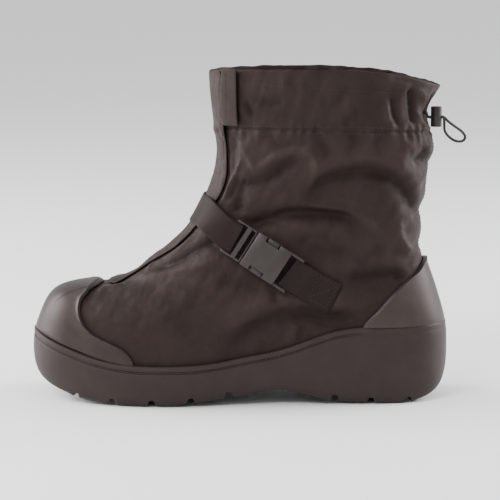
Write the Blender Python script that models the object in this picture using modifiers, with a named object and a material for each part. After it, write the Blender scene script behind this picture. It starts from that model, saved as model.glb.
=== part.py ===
"""Winter overshoe for the left foot: a hollow fabric upper on a moulded rubber cupsole, with a toe cap,
a heel counter, a storm flap, an instep strap with a side-release buckle, and a cuff drawcord with its lock.
Units here are millimetres, turned to metres when a mesh is made. -X is the toe, -Y the outer side, +Z up."""

import math

import bpy
import numpy as np
from mathutils import Matrix, Vector

MM = 0.001

# Main sizes of the shoe
SOLE_LENGTH = 335.0
BALL_WIDTH = 124.0
HEEL_WIDTH = 95.0
WAIST_WIDTH = 108.0
UPPER_WALL = 2.0
CASING_STEP = 1.0
SEAT_GAP = 0.3
FOOT_LIFT = 1.0
LUG_DEPTH = 5.0
GROOVE_WIDTH = 6.4
GROOVE_TAPER = 0.5
CAP_THICKNESS = 3.8
CAP_THINNING = 1.4
CAP_FOOT = 2.4
COUNTER_THICKNESS = 3.4
COUNTER_FOOT = 2.6
LIP_HEIGHT = 0.9
STRAP_WIDTH = 25.0
WEBBING = 1.6
CORD_DIAMETER = 2.2

# Steps of the rings round the shoe, on each side: toe zone, middle, heel zone, and the share of u of the
# two end zones
TOE_STEPS = 12
MIDDLE_STEPS = 8
HEEL_STEPS = 9
SIDE_STEPS = TOE_STEPS + MIDDLE_STEPS + HEEL_STEPS
TOE_SHARE = 4 / 9
HEEL_SHARE = 1 / 3

# Lines along the sole, as station x and height
TREAD_LINE = ((-167.5, 22), (-162, 16), (-156, 12), (-146, 8), (-136, 5), (-126, 3), (-107, 1), (-88, 0), (-60, 0),
              (-40, 1.8), (-22, 4.4), (-8, 6.6), (6, 7.8), (16, 10), (25, 12.4), (34, 13.4), (44, 11.5), (53, 6.6),
              (63, 4.5), (80, 2.2), (95, 0.6), (105, 0), (141, 0), (152, 2.4), (161, 7.5), (166, 14), (167.5, 18))
RIM_LINE = ((-167.5, 55), (-160, 51.5), (-150, 47.5), (-138, 43.5), (-124, 39), (-108, 35), (-75, 32), (-32, 33),
            (8, 40), (36, 44.5), (50, 50), (75, 59), (95, 62), (167.5, 62))
FLOOR_LINE = ((-167.5, 39), (-150, 30), (-130, 22), (-100, 16.5), (-60, 14), (0, 16.5), (40, 21), (80, 20),
              (167.5, 21))
CENTRE_LINE = ((-167.5, 6), (-130, 4.5), (-90, 1.5), (-50, 0), (0, -1.5), (40, -2.5), (90, -1), (167.5, 0))

# The outsole's outline in plan
OUTLINE = dict(front_x=-167.5, back_x=167.5, ball_x=-52, heel_x=104, ball_w=BALL_WIDTH / 2,
               waist_w=WAIST_WIDTH / 2 - 1.5, heel_w=HEEL_WIDTH / 2, front_n=2.4, back_n=2.35, swing=1.0)

# The outsole's side wall, from the tread up: how far inside the outline in front and round the heel, where
# the groove under the bead runs out, share of the way from the tread line to the rim line, and a lift
WALL_COLUMNS = ("inset", "heel_inset", "share", "lift")
WALL_ROWS = ((5.0, 5.0, 0.0, 0.0), (2.2, 2.2, 0.0, 2.5), (0.8, 0.8, 0.0, 7.0), (0.0, 0.0, 0.45, 0.0),
             (0.4, 0.4, 1.0, -9.0), (0.8, 0.7, 1.0, -6.2), (2.0, 0.9, 1.0, -5.4), (2.0, 1.0, 1.0, -4.6),
             (0.9, 1.0, 1.0, -3.8), (1.0, 1.3, 1.0, -1.0), (2.0, 2.0, 1.0, 0.0))
GROOVE_END = (84.0, 118.0)

# The upper's sections: tilted rings from the sole's floor to the collar. Each runs from a front point to a
# back point, is widest at the ball station and the heel station, and has a superellipse end at both ends.
# rim and floor are the shares of those lines that its height follows, bow lifts its middle, and swing is
# its share of the foot's left or right curve.
SECTION_COLUMNS = ("front_x", "front_z", "back_x", "back_z", "ball_x", "heel_x", "ball_w", "waist_w",
                   "heel_w", "front_n", "back_n", "rim", "floor", "bow", "swing")
SECTIONS = (
    (-157.0, 40.0, 159.5, 22.0, -54, 106, 55.0, 46.5, 43.0, 2.35, 2.30, 0.0, 1.0, 0.0, 1.00),
    (-158.2, 55.0, 159.6, 62.0, -54, 106, 56.0, 47.2, 43.4, 2.35, 2.30, 1.0, 0.0, 0.0, 1.00),
    (-155.4, 70.0, 158.6, 70.0, -51, 105, 55.0, 47.4, 43.4, 2.40, 2.30, 0.8, 0.0, 0.0, 1.00),
    (-149.4, 79.4, 157.0, 78.0, -47, 104, 52.9, 47.0, 43.1, 2.42, 2.25, 0.6, 0.0, 0.0, 1.00),
    (-141.8, 84.4, 155.0, 86.0, -42, 102, 50.6, 46.4, 42.6, 2.42, 2.20, 0.4, 0.0, 0.0, 1.00),
    (-131.5, 87.4, 152.4, 94.0, -36, 99, 48.6, 45.8, 42.1, 2.35, 2.20, 0.25, 0.0, 0.0, 0.95),
    (-119.0, 89.0, 149.8, 101.0, -27, 95, 46.8, 45.2, 41.6, 2.20, 2.20, 0.12, 0.0, 0.0, 0.85),
    (-106.5, 90.6, 147.4, 108.0, -14, 92, 45.6, 44.6, 41.2, 2.12, 2.20, 0.05, 0.0, 0.0, 0.70),
    (-95.5, 93.4, 146.4, 115.0, 0, 88, 44.8, 44.2, 41.0, 2.12, 2.20, 0.0, 0.0, 0.0, 0.50),
    (-84.5, 98.4, 145.6, 123.0, 12, 85, 44.3, 43.8, 40.8, 2.14, 2.20, 0.0, 0.0, 0.0, 0.35),
    (-75.5, 105.0, 145.2, 131.0, 24, 84, 43.8, 43.4, 40.6, 2.16, 2.20, 0.0, 0.0, 0.0, 0.22),
    (-66.0, 113.0, 145.5, 139.0, 34, 84, 43.4, 43.0, 40.6, 2.16, 2.20, 0.0, 0.0, 0.0, 0.12),
    (-55.5, 121.4, 145.9, 147.0, 40, 84, 43.2, 42.8, 40.8, 2.16, 2.20, 0.0, 0.0, 0.0, 0.05),
    (-44.8, 130.6, 146.0, 156.0, 45, 84, 43.0, 42.6, 41.0, 2.12, 2.20, 0.0, 0.0, 0.0, 0.0),
    (-36.0, 142.0, 146.8, 165.0, 48, 84, 43.0, 42.8, 41.4, 2.10, 2.20, 0.0, 0.0, 0.0, 0.0),
    (-29.0, 155.0, 148.8, 174.0, 51, 84, 43.4, 43.2, 42.2, 2.10, 2.15, 0.0, 0.0, 0.0, 0.0),
    (-21.8, 170.0, 151.4, 183.0, 54, 84, 44.2, 44.2, 43.4, 2.10, 2.10, 0.0, 0.0, 0.0, 0.0),
    (-17.4, 186.0, 153.6, 193.0, 56, 84, 45.4, 45.4, 44.6, 2.10, 2.10, 0.0, 0.0, 1.0, 0.0),
    (-16.4, 202.0, 154.4, 204.0, 58, 84, 46.4, 46.4, 45.6, 2.10, 2.10, 0.0, 0.0, 2.0, 0.0),
    (-18.2, 218.0, 151.4, 214.0, 59, 84, 47.2, 47.2, 46.2, 2.15, 2.10, 0.0, 0.0, 3.0, 0.0),
    (-20.0, 233.0, 145.6, 228.0, 60, 83, 47.8, 47.8, 46.4, 2.20, 2.10, 0.0, 0.0, 4.0, 0.0),
    (-21.4, 248.0, 153.4, 239.5, 60, 82, 48.8, 48.8, 46.8, 2.20, 2.00, 0.0, 0.0, 5.0, 0.0),
    (-22.2, 262.5, 160.6, 250.5, 60, 82, 49.8, 49.8, 47.6, 2.20, 1.95, 0.0, 0.0, 6.0, 0.0),
)
CASING_ROW = 19
# The inner face runs straight past these sections, where the wall is flat enough
PLAIN_INSIDE = (15, 19, 21)

# Back edge of the toe cap on the outer side, from the rim up to the top of the toe, as x and z
CAP_EDGE = ((-82, 38), (-88, 44.5), (-99, 48.5), (-110, 52), (-118, 57), (-124, 64), (-126.5, 72), (-125.5, 79),
            (-121, 84.5))
CAP_TOP_X = -109.5
# Front edge of the heel counter on the outer side, from the rim up to its top at the back
COUNTER_EDGE = ((97, 63), (104, 69.5), (111, 77.5), (121, 88.5), (132, 97), (141, 102.5))
COUNTER_TOP_Z = 112.0

# Pieces laid on the upper are placed by u, the share of the way round from the front line to the back line
# (below zero on the outer side), and t, the section number.
FLAP_EDGE = ((-0.115, 7.05), (-0.062, 8.3), (-0.035, 9.4), (-0.048, 10.3), (-0.09, 11.1), (-0.108, 12.2),
             (-0.10, 13.4), (-0.135, 14.6), (-0.158, 16.2), (-0.13, 17.8), (-0.13, 19.1), (-0.15, 21.95))
FLAP_INNER_EDGE = ((0.10, 7.05), (0.10, 9.5), (0.11, 12.0), (0.12, 15.0), (0.125, 18.0), (0.125, 21.95))
FLAP_THICKNESS = 1.2
TAB_CORNERS = ((-0.210, 19.2), (-0.138, 19.2), (-0.158, 21.9), (-0.218, 21.9))
TAB_THICKNESS = 1.9
# The instep strap, from the buckle over the front to the inner side. Its ends go by station x and height z.
STRAP_OUTER = ((-0.6, 130.1), (-7.2, 134.2), (-13.4, 139.0), (-19.9, 145.4))
STRAP_FRONT = ((-0.10, 14.55), (0.0, 14.65), (0.10, 14.55))
STRAP_INNER = ((-19.9, 145.4), (-8.0, 135.0), (12, 121.5), (34, 107.5), (56, 93.5))
# Height of the strap above the upper, by share of its route: the flap under it ends before the inner side
STRAP_LIFT = ((0.0, 2.1), (0.16, 2.3), (0.62, 2.3), (0.66, 1.8), (0.74, 0.5), (1.0, 0.5))
KEEPER_ROUTE = ((37.8, 106.1), (44, 102.2), (51, 98.0), (62, 91.6), (75, 85.0))
KEEPER_LIFT = ((0.0, 0.5), (1.0, 0.5))

# Side-release buckle, in its own frame: along from the strap's end, across, and up from its base
BUCKLE_START = (-7.2, 134.2)
BUCKLE_END = (44.0, 102.2)
BUCKLE_WIDTH = 29.0
BUCKLE_HEIGHT = 8.0
BUCKLE_CLEAR = 0.9
RAIL_WIDTH = 1.5
WEBBING_HEIGHT = 3.0
LADDER_LENGTH = 18.5
BODY_START = 19.0
BODY_END = 50.0
RAIL_END = 61.0

# Drawcord and its lock, behind the back of the cuff
LOCK_CENTRE = (156.8, -2.0, 224.5)
LOCK_RADIUS = 4.4
LOCK_HEIGHT = 16.0
HOLE_HEIGHT = 224.0
HOLE_SPREAD = 1.8
CORD_ROUTE = ((147.3, -12.0, 229.0), (148.0, -10.0, 229.0), (148.8, -7.0, 227.4), (149.6, -4.8, 225.2),
              (151.2, -3.8, 224.0), (156.8, -3.8, 224.0), (162.6, -3.8, 224.0), (166.0, -4.4, 221.0),
              (171.0, -5.6, 217.2), (176.6, -6.5, 213.2), (179.6, -6.8, 208.9), (177.6, -6.2, 205.4),
              (172.4, -4.8, 205.2), (167.0, -2.8, 208.4), (163.8, -1.2, 213.0), (163.4, -0.4, 218.6),
              (162.6, -0.2, 224.0), (156.8, -0.2, 224.0), (151.2, -0.2, 224.0), (149.6, 1.6, 225.6),
              (148.8, 4.6, 227.6), (148.0, 8.0, 229.0), (147.3, 10.4, 229.0))


def table_curve(points, x):
    """Monotone cubic curve through a table of (x, y) pairs, flat beyond its ends."""
    xs = [p[0] for p in points]
    ys = [p[1] for p in points]
    return cubic(xs, ys, x)


def cubic(xs, ys, x):
    """Monotone cubic interpolation, one value at a time."""
    n = len(xs)
    if x <= xs[0]:
        return float(ys[0])
    if x >= xs[-1]:
        return float(ys[-1])
    k = 0
    while k < n - 2 and x > xs[k + 1]:
        k += 1
    slopes = [(ys[i + 1] - ys[i]) / (xs[i + 1] - xs[i]) for i in range(n - 1)]

    def tangent(i):
        if i == 0:
            return slopes[0]
        if i == n - 1:
            return slopes[-1]
        a = slopes[i - 1]
        b = slopes[i]
        if a * b <= 0:
            return 0.0
        return 2 * a * b / (a + b)

    h = xs[k + 1] - xs[k]
    s = (x - xs[k]) / h
    m0 = tangent(k) * h
    m1 = tangent(k + 1) * h
    s2 = s * s
    s3 = s2 * s
    return ((2 * s3 - 3 * s2 + 1) * ys[k] + (s3 - 2 * s2 + s) * m0
            + (3 * s2 - 2 * s3) * ys[k + 1] + (s3 - s2) * m1)


def smooth(k):
    """0 below 0, 1 above 1, and a soft step between."""
    k = min(1.0, max(0.0, k))
    return k * k * (3 - 2 * k)


SECTION_NUMBERS = tuple(range(len(SECTIONS)))
SECTION_TABLE = {name: tuple(row[k] for row in SECTIONS) for k, name in enumerate(SECTION_COLUMNS)}
LAST = float(len(SECTIONS) - 1)
KNOWN_RINGS = {}


def section(t):
    """The named values of the upper's section number t, between the rows of the table too."""
    key = round(t, 5)
    if key not in KNOWN_RINGS:
        KNOWN_RINGS[key] = {name: cubic(SECTION_NUMBERS, column, key) for name, column in SECTION_TABLE.items()}
    return KNOWN_RINGS[key]


def plan_point(ring, phi):
    """Station x and half width of a ring at share phi of the way from its front point to its back point."""
    middle_share = 1 - TOE_SHARE - HEEL_SHARE
    if phi <= TOE_SHARE:
        angle = phi / TOE_SHARE * math.pi / 2
        power = 2 / ring["front_n"]
        x = ring["ball_x"] - (ring["ball_x"] - ring["front_x"]) * math.cos(angle) ** power
        return x, ring["ball_w"] * math.sin(angle) ** power
    if phi < 1 - HEEL_SHARE:
        k = (phi - TOE_SHARE) / middle_share
        x = ring["ball_x"] + (ring["heel_x"] - ring["ball_x"]) * k
        return x, middle_width(ring, k)
    angle = min(1.0, (phi - 1 + HEEL_SHARE) / HEEL_SHARE) * math.pi / 2
    power = 2 / ring["back_n"]
    x = ring["heel_x"] + (ring["back_x"] - ring["heel_x"]) * math.sin(angle) ** power
    return x, ring["heel_w"] * max(0.0, math.cos(angle)) ** power


def middle_width(ring, k):
    """Half width between the ball station and the heel station."""
    if k < 0.5:
        s = k * 2
        a = ring["ball_w"]
        b = ring["waist_w"]
    else:
        s = k * 2 - 1
        a = ring["waist_w"]
        b = ring["heel_w"]
    return a + (b - a) * s * s * (3 - 2 * s)


def phi_of(ring, x):
    """Share of the way round at which the ring passes station x."""
    if x < ring["ball_x"]:
        c = min(1.0, max(0.0, (ring["ball_x"] - x) / (ring["ball_x"] - ring["front_x"])))
        return math.acos(c ** (ring["front_n"] / 2)) / (math.pi / 2) * TOE_SHARE
    if x < ring["heel_x"]:
        k = (x - ring["ball_x"]) / (ring["heel_x"] - ring["ball_x"])
        return TOE_SHARE + k * (1 - TOE_SHARE - HEEL_SHARE)
    s = min(1.0, max(0.0, (x - ring["heel_x"]) / (ring["back_x"] - ring["heel_x"])))
    return 1 - HEEL_SHARE + math.asin(s ** (ring["back_n"] / 2)) / (math.pi / 2) * HEEL_SHARE


def along(ring, x):
    """Share of a ring's length, and the sole's station there."""
    s = (x - ring["front_x"]) / (ring["back_x"] - ring["front_x"])
    return s, -SOLE_LENGTH / 2 + SOLE_LENGTH * s


def section_height(ring, x):
    """Height of the upper's ring at station x."""
    s, station = along(ring, x)
    z = ring["front_z"] + (ring["back_z"] - ring["front_z"]) * s
    for share, line in ((ring["rim"], RIM_LINE), (ring["floor"], FLOOR_LINE)):
        if share > 0:
            ends = line[0][1] + (line[-1][1] - line[0][1]) * s
            z += share * (table_curve(line, station) - ends)
    return z + ring["bow"] * math.sin(math.pi * min(1.0, max(0.0, s)) ** 1.4)


def form(u, t):
    """The upper's outer surface. u runs from -1 (back) over the outer side to 0 (front) and over the inner
    side to 1 (back); t is the section number."""
    ring = section(t)
    x, w = plan_point(ring, min(1.0, abs(u)))
    station = along(ring, x)[1]
    y = table_curve(CENTRE_LINE, station) * ring["swing"] + math.copysign(w, u)
    return np.array((x, y, section_height(ring, x)))


def form_normal(u, t):
    """Outward normal of the upper's surface."""
    d = 0.004
    e = 0.02
    du = wrapped_form(u + d, t) - wrapped_form(u - d, t)
    dt = form(u, min(LAST, t + e)) - form(u, max(0.0, t - e))
    n = np.cross(dt, du)
    return n / max(1e-9, np.linalg.norm(n))


def wrapped_form(u, t):
    """The surface, with u carried past the back seam."""
    if u > 1:
        u -= 2
    if u < -1:
        u += 2
    return form(u, t)


def form_at(u, t, offset):
    """A point at an offset from the upper's surface."""
    if u > 1:
        u -= 2
    if u < -1:
        u += 2
    return form(u, t) + form_normal(u, t) * offset


def casing_lift(t):
    """How far the casing's step raises what lies on it."""
    return CASING_STEP * smooth((t - CASING_ROW + 0.5) / 0.4)


def walk(u, t, direction, distance):
    """The (u, t) reached by going a distance over the surface in a direction, in four steps."""
    step = distance / 4
    for _ in range(4):
        d = 0.004
        du = (wrapped_form(u + d, t) - wrapped_form(u - d, t)) / (2 * d)
        dt = (form(u, min(LAST, t + d)) - form(u, t - d)) / (min(LAST, t + d) - t + d)
        a = np.array(((du @ du, du @ dt), (du @ dt, dt @ dt)))
        b = np.array((du @ direction, dt @ direction))
        move = np.linalg.solve(a, b)
        length = np.linalg.norm(du * move[0] + dt * move[1])
        u += move[0] * step / length
        t += move[1] * step / length
        t = min(LAST, t)
    return u, t


def locate(x, z, side):
    """(u, t) of the surface point at station x and height z, on the outer side (-1) or the inner side (1)."""
    low = 0.0
    high = LAST
    for _ in range(40):
        t = (low + high) / 2
        ring = section(t)
        if section_height(ring, x) > z or x < ring["front_x"] or x > ring["back_x"]:
            high = t
        else:
            low = t
    return side * phi_of(section(low), x), low


def new_mesh(name, points, faces, collection):
    """An object from points in millimetres and faces, with its faces turned outward."""
    mesh = bpy.data.meshes.new(name)
    mesh.from_pydata([tuple(float(c) * MM for c in p) for p in points], [], faces)
    mesh.validate()
    obj = bpy.data.objects.new(name, mesh)
    collection.objects.link(obj)
    turn_outward(obj)
    return obj


def turn_outward(obj):
    """Recalculates an object's normals outward."""
    bpy.ops.object.select_all(action="DESELECT")
    bpy.context.view_layer.objects.active = obj
    obj.select_set(True)
    bpy.ops.object.mode_set(mode="EDIT")
    bpy.ops.mesh.select_all(action="SELECT")
    bpy.ops.mesh.normals_make_consistent(inside=False)
    bpy.ops.object.mode_set(mode="OBJECT")
    obj.select_set(False)


def material(name, colour, roughness):
    """A plain material."""
    m = bpy.data.materials.new(name)
    m.use_nodes = True
    shader = m.node_tree.nodes["Principled BSDF"]
    shader.inputs["Base Color"].default_value = (*colour, 1.0)
    shader.inputs["Roughness"].default_value = roughness
    shader.inputs["Metallic"].default_value = 0.0
    m.diffuse_color = (*colour, 1.0)
    return m


def wear(obj, m):
    obj.data.materials.clear()
    obj.data.materials.append(m)


def ring_order():
    """u of each point round a ring: from the toe over the inner side to the back, then the outer side."""
    inner = [TOE_SHARE * k / TOE_STEPS for k in range(TOE_STEPS)]
    inner += [TOE_SHARE + (1 - TOE_SHARE - HEEL_SHARE) * k / MIDDLE_STEPS for k in range(MIDDLE_STEPS)]
    inner += [1 - HEEL_SHARE + HEEL_SHARE * k / HEEL_STEPS for k in range(HEEL_STEPS)]
    return inner + [-1.0] + [-u for u in inner[:0:-1]]


def ring_faces(rows, count):
    """Quads between the rings of a stack, each ring holding count points."""
    faces = []
    for r in range(rows - 1):
        for k in range(count):
            a = r * count + k
            b = r * count + (k + 1) % count
            faces.append((a, b, b + count, a + count))
    return faces


def bridge_faces(ring, points, height, columns):
    """Faces that close a ring from side to side; height(x) gives the added points' z."""
    side = len(ring) // 2
    faces = []
    previous = None
    for k in range(1, side):
        inner = ring[k]
        outer = ring[-k]
        row = [outer]
        a = points[outer]
        b = points[inner]
        for j in range(1, columns):
            p = a + (b - a) * (j / columns)
            points.append(np.array((p[0], p[1], height(p[0]))))
            row.append(len(points) - 1)
        row.append(inner)
        if previous is None:
            faces += [(ring[0], row[j], row[j + 1]) for j in range(columns)]
        else:
            faces += [(previous[j], row[j], row[j + 1], previous[j + 1]) for j in range(columns)]
        previous = row
    faces += [(previous[j], ring[side], previous[j + 1]) for j in range(columns)]
    return faces


def patch(name, left, right, bottom, top, columns, rows, offsets, collection, level_foot=False):
    """A shell over a four-sided region of the upper's surface. left, right run upward and bottom, top run
    from left to right, each a function of 0..1 that gives (u, t). offsets(i, j) gives its inner and outer
    distance from the surface at shares i, j."""
    inner = []
    outer = []
    for j in rows:
        for i in columns:
            a = np.array(left(j))
            b = np.array(right(j))
            c = np.array(bottom(i))
            d = np.array(top(i))
            corners = ((1 - i) * (1 - j) * np.array(left(0)) + i * (1 - j) * np.array(right(0))
                       + (1 - i) * j * np.array(left(1)) + i * j * np.array(right(1)))
            u, t = (1 - i) * a + i * b + (1 - j) * c + j * d - corners
            low, high = offsets(i, j)
            lift = casing_lift(t)
            inner.append(form_at(u, t, low + lift))
            outer.append(form_at(u, t, high + lift))
            if level_foot and j == 0:
                outer[-1][2] = inner[-1][2]
    return new_mesh(name, inner + outer, shell_faces(len(columns), len(rows)), collection)


def shell_faces(w, h):
    """Faces of a shell whose inner and outer sides are each a grid, w points wide and h points high."""
    half = w * h
    faces = []
    for r in range(h - 1):
        for k in range(w - 1):
            a = r * w + k
            faces.append((a, a + w, a + w + 1, a + 1))
            faces.append((half + a, half + a + 1, half + a + w + 1, half + a + w))
    rim = ([k for k in range(w)] + [r * w + w - 1 for r in range(1, h)]
           + [(h - 1) * w + k for k in range(w - 2, -1, -1)] + [r * w for r in range(h - 2, 0, -1)])
    for k, a in enumerate(rim):
        b = rim[(k + 1) % len(rim)]
        faces.append((a, b, half + b, half + a))
    return faces


def band(name, route, lifts, steps, plane, collection):
    """A webbing strap along a route of (u, t) points, at its lift above the surface. plane is a point and a
    normal of the buckle's webbing bed, how far from the route's start it holds, and how far it fades."""
    path = polyline(route)
    across = (-1.0, -0.5, 0.0, 0.5, 1.0)
    bed, out, held, fade = plane
    inner = []
    outer = []
    gone = 0.0
    last = form(*path(0.0))
    for k in range(steps + 1):
        s = k / steps
        u, t = path(s)
        here = form(u, t)
        gone += np.linalg.norm(here - last)
        last = here
        w = smooth((held + fade - gone) / fade)
        ahead = form(*path(min(1.0, s + 0.02))) - form(*path(max(0.0, s - 0.02)))
        n = form_normal(u, t)
        side = np.cross(n, ahead)
        side = side / np.linalg.norm(side)
        for c in across:
            cu, ct = (u, t) if c == 0 else walk(u, t, side * math.copysign(1, c), STRAP_WIDTH / 2 * abs(c))
            p = form(cu, ct)
            n = form_normal(cu, ct)
            free = table_curve(lifts, s) + casing_lift(ct)
            on_bed = ((bed - p) @ out) / (n @ out) if w > 0 else 0.0
            lift = free + (on_bed - free) * w
            inner.append(p + n * lift)
            outer.append(p + n * (lift + WEBBING))
    return new_mesh(name, inner + outer, shell_faces(len(across), steps + 1), collection)


def polyline(points):
    """A function of 0..1 along a table of (u, t) points, by index and smooth."""
    numbers = tuple(range(len(points)))
    us = tuple(p[0] for p in points)
    ts = tuple(p[1] for p in points)
    last = len(points) - 1
    return lambda s: (cubic(numbers, us, s * last), cubic(numbers, ts, s * last))


def spaced(count, ends=()):
    """Even shares from 0 to 1, with extra ones named near the ends."""
    return sorted(set([k / count for k in range(count + 1)] + list(ends)))


def mirrored(points):
    return tuple((-u, t) for u, t in points)


def apply_modifiers(obj):
    bpy.ops.object.select_all(action="DESELECT")
    bpy.context.view_layer.objects.active = obj
    obj.select_set(True)
    for modifier in list(obj.modifiers):
        bpy.ops.object.modifier_apply(modifier=modifier.name)
    obj.select_set(False)


def box(name, size, collection):
    """A box from the cube primitive, centred on the origin."""
    bpy.ops.mesh.primitive_cube_add(size=1.0)
    obj = bpy.context.active_object
    obj.name = name
    obj.data.name = name
    obj.data.transform(Matrix.Diagonal((size[0] * MM, size[1] * MM, size[2] * MM, 1.0)))
    for other in list(obj.users_collection):
        other.objects.unlink(obj)
    collection.objects.link(obj)
    return obj


def cut(obj, cutter, operation="DIFFERENCE"):
    modifier = obj.modifiers.new("cut", "BOOLEAN")
    modifier.operation = operation
    modifier.solver = "EXACT"
    modifier.object = cutter


def start():
    """Clears the scene and makes the two collections."""
    for obj in list(bpy.data.objects):
        bpy.data.objects.remove(obj, do_unlink=True)
    shoe = bpy.data.collections.new("winter_overshoe")
    bpy.context.scene.collection.children.link(shoe)
    cutters = bpy.data.collections.new("cutters")
    bpy.context.scene.collection.children.link(cutters)
    return shoe, cutters


def sole_ring(inset, heel_inset, share, lift):
    """One ring of the outsole's side wall."""
    fore, heel = [inset_outline(inset), inset_outline(heel_inset)]
    points = []
    for u in ring_order():
        x, w = plan_point(fore, abs(u))
        heel_x, heel_w = plan_point(heel, abs(u))
        k = smooth((x - GROOVE_END[0]) / (GROOVE_END[1] - GROOVE_END[0]))
        x += (heel_x - x) * k
        w += (heel_w - w) * k
        s, station = along(fore, x)
        tread = table_curve(TREAD_LINE, station)
        rim = table_curve(RIM_LINE, station)
        y = table_curve(CENTRE_LINE, station) + math.copysign(w, u)
        points.append(np.array((x, y, tread + (rim - tread) * share + lift)))
    return points


def inset_outline(inset):
    """The outline's sizes, moved inward."""
    ring = dict(OUTLINE)
    ring["front_x"] += inset
    ring["back_x"] -= inset
    for name in ("ball_w", "waist_w", "heel_w"):
        ring[name] -= inset
    return ring


def cup_ring(t, gap):
    """One ring of the cup's inner wall, outside the upper's surface by a gap."""
    points = []
    for u in ring_order():
        n = form_normal(u, t)
        n[2] = 0.0
        points.append(form(u, t) + n / np.linalg.norm(n) * gap)
    return points


def make_outsole(shoe, cutters, rubber):
    """The cupsole: side wall with a bead, a ledge, the cup's inner wall and floor, and grooves in the tread."""
    rings = [sole_ring(**dict(zip(WALL_COLUMNS, row))) for row in WALL_ROWS]
    rings += [cup_ring(t, SEAT_GAP) for t in (1.0, 0.5, 0.0)]
    floor = cup_ring(0.0, SEAT_GAP)
    for p in floor:
        station = along(section(0.0), p[0])[1]
        p[2] = table_curve(FLOOR_LINE, station)
    rings.append(floor)
    count = SIDE_STEPS * 2
    points = [p for ring in rings for p in ring]
    faces = ring_faces(len(rings), count)
    tread_x = OUTLINE["front_x"] + WALL_ROWS[0][0]
    stretch = SOLE_LENGTH / (SOLE_LENGTH - 2 * WALL_ROWS[0][0])

    def tread_height(x):
        return table_curve(TREAD_LINE, -SOLE_LENGTH / 2 + (x - tread_x) * stretch)

    def floor_height(x):
        return table_curve(FLOOR_LINE, along(section(0.0), x)[1])

    faces += bridge_faces(list(range(count)), points, tread_height, 5)
    top = (len(rings) - 1) * count
    faces += bridge_faces(list(range(top, top + count)), points, floor_height, 3)
    outsole = new_mesh("outsole", points, faces, shoe)
    for k, (x, turn) in enumerate(((-129.6, 9), (-99.5, 6), (-68.5, 3), (-38, 0), (-9, -3), (75, 0), (104, -3),
                                   (134, -8))):
        for side in (-1, 1):
            groove = box("groove_%d_%s" % (k, "outer" if side < 0 else "inner"),
                         (GROOVE_WIDTH, 58.0, LUG_DEPTH * 2), cutters)
            for vertex in groove.data.vertices:
                vertex.co.x *= 1 - GROOVE_TAPER * math.copysign(1.0, vertex.co.z)
            z = table_curve(TREAD_LINE, x)
            slope = math.atan2(table_curve(TREAD_LINE, x + 4) - table_curve(TREAD_LINE, x - 4), 8)
            place = (Matrix.Translation(Vector((x, side * 40.0, z)) * MM)
                     @ Matrix.Rotation(math.radians(side * turn), 4, "Z") @ Matrix.Rotation(-slope, 4, "Y"))
            groove.data.transform(place)
            cut(outsole, groove)
    apply_modifiers(outsole)
    wear(outsole, rubber)
    return outsole


def make_insole(shoe, board):
    """A thin board on the floor, inside the upper's wall."""
    thickness = 3.0
    gap = UPPER_WALL + 0.5
    low = cup_ring(0.0, -gap)
    high = cup_ring(0.0, -gap)
    for p in low:
        p[2] = table_curve(FLOOR_LINE, along(section(0.0), p[0])[1]) + SEAT_GAP
    for p, q in zip(high, low):
        p[2] = q[2] + thickness
    count = SIDE_STEPS * 2
    points = low + high
    faces = ring_faces(2, count)

    def floor_height(x):
        return table_curve(FLOOR_LINE, along(section(0.0), x)[1]) + SEAT_GAP

    faces += bridge_faces(list(range(count)), points, floor_height, 2)
    faces += bridge_faces(list(range(count, 2 * count)), points, lambda x: floor_height(x) + thickness, 2)
    insole = new_mesh("insole", points, faces, shoe)
    wear(insole, board)
    return insole


def make_upper(shoe, fabric):
    """One hollow fabric solid: the outer face up to the collar with the casing's step, then the inner face
    back down to the sole's floor."""
    outside = [(0.0, 0.0), (0.5, 0.0)]
    inside = [(0.0, -UPPER_WALL)]
    for number in range(1, len(SECTIONS)):
        if number == CASING_ROW:
            outside.append((number - 0.06, 0.0))
        outside.append((float(number), CASING_STEP if number >= CASING_ROW else 0.0))
        if number not in PLAIN_INSIDE:
            inside.append((float(number), -UPPER_WALL))
    rows = outside + inside[::-1]
    points = []
    for t, offset in rows:
        for u in ring_order():
            p = form_at(u, t, offset)
            if t == 0.0:
                p[2] = form(u, t)[2] + FOOT_LIFT
            points.append(p)
    count = SIDE_STEPS * 2
    faces = ring_faces(len(rows), count)
    last = (len(rows) - 1) * count
    for k in range(count):
        after = (k + 1) % count
        faces.append((last + k, last + after, after, k))
    upper = new_mesh("upper", points, faces, shoe)
    wear(upper, fabric)
    return upper


def make_toe_cap(shoe, rubber):
    """The rubber cap over the toe, its back edge a raised lip."""
    outer_side = [locate(x, z, -1) for x, z in CAP_EDGE]
    outer_side[0] = (outer_side[0][0], 1.04)
    start_u = outer_side[0][0]
    corner = len(outer_side) - 1
    top_t = locate_front(CAP_TOP_X)
    left = polyline(outer_side)
    right = polyline(mirrored(outer_side))
    corner_u, corner_t = outer_side[corner]
    middle = (corner_u * 0.55, corner_t + (top_t - corner_t) * 0.66)
    top = polyline((outer_side[corner], middle, (0.0, top_t), (-middle[0], middle[1]),
                    (-corner_u, corner_t)))

    def bottom(s):
        return start_u * (1 - 2 * s), 1.04

    def offsets(i, j):
        edge = min(i, 1 - i, 1 - j)
        lip = LIP_HEIGHT if 0.015 < edge < 0.04 else 0.0
        thick = CAP_THICKNESS - CAP_THINNING * (1 - smooth(edge / 0.3))
        foot = (1.0 + CAP_FOOT * math.sin(math.pi * i) ** 4) * max(0.0, 1 - j / 0.24) ** 2
        return SEAT_GAP + 0.45, SEAT_GAP + thick - (0.9 if edge < 0.01 else 0.0) + lip + foot

    cap = patch("toe_cap", left, right, bottom, top, spaced(18, (0.02, 0.98)),
                spaced(7, (0.925, 0.98)), offsets, shoe, True)
    wear(cap, rubber)
    return cap


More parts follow.
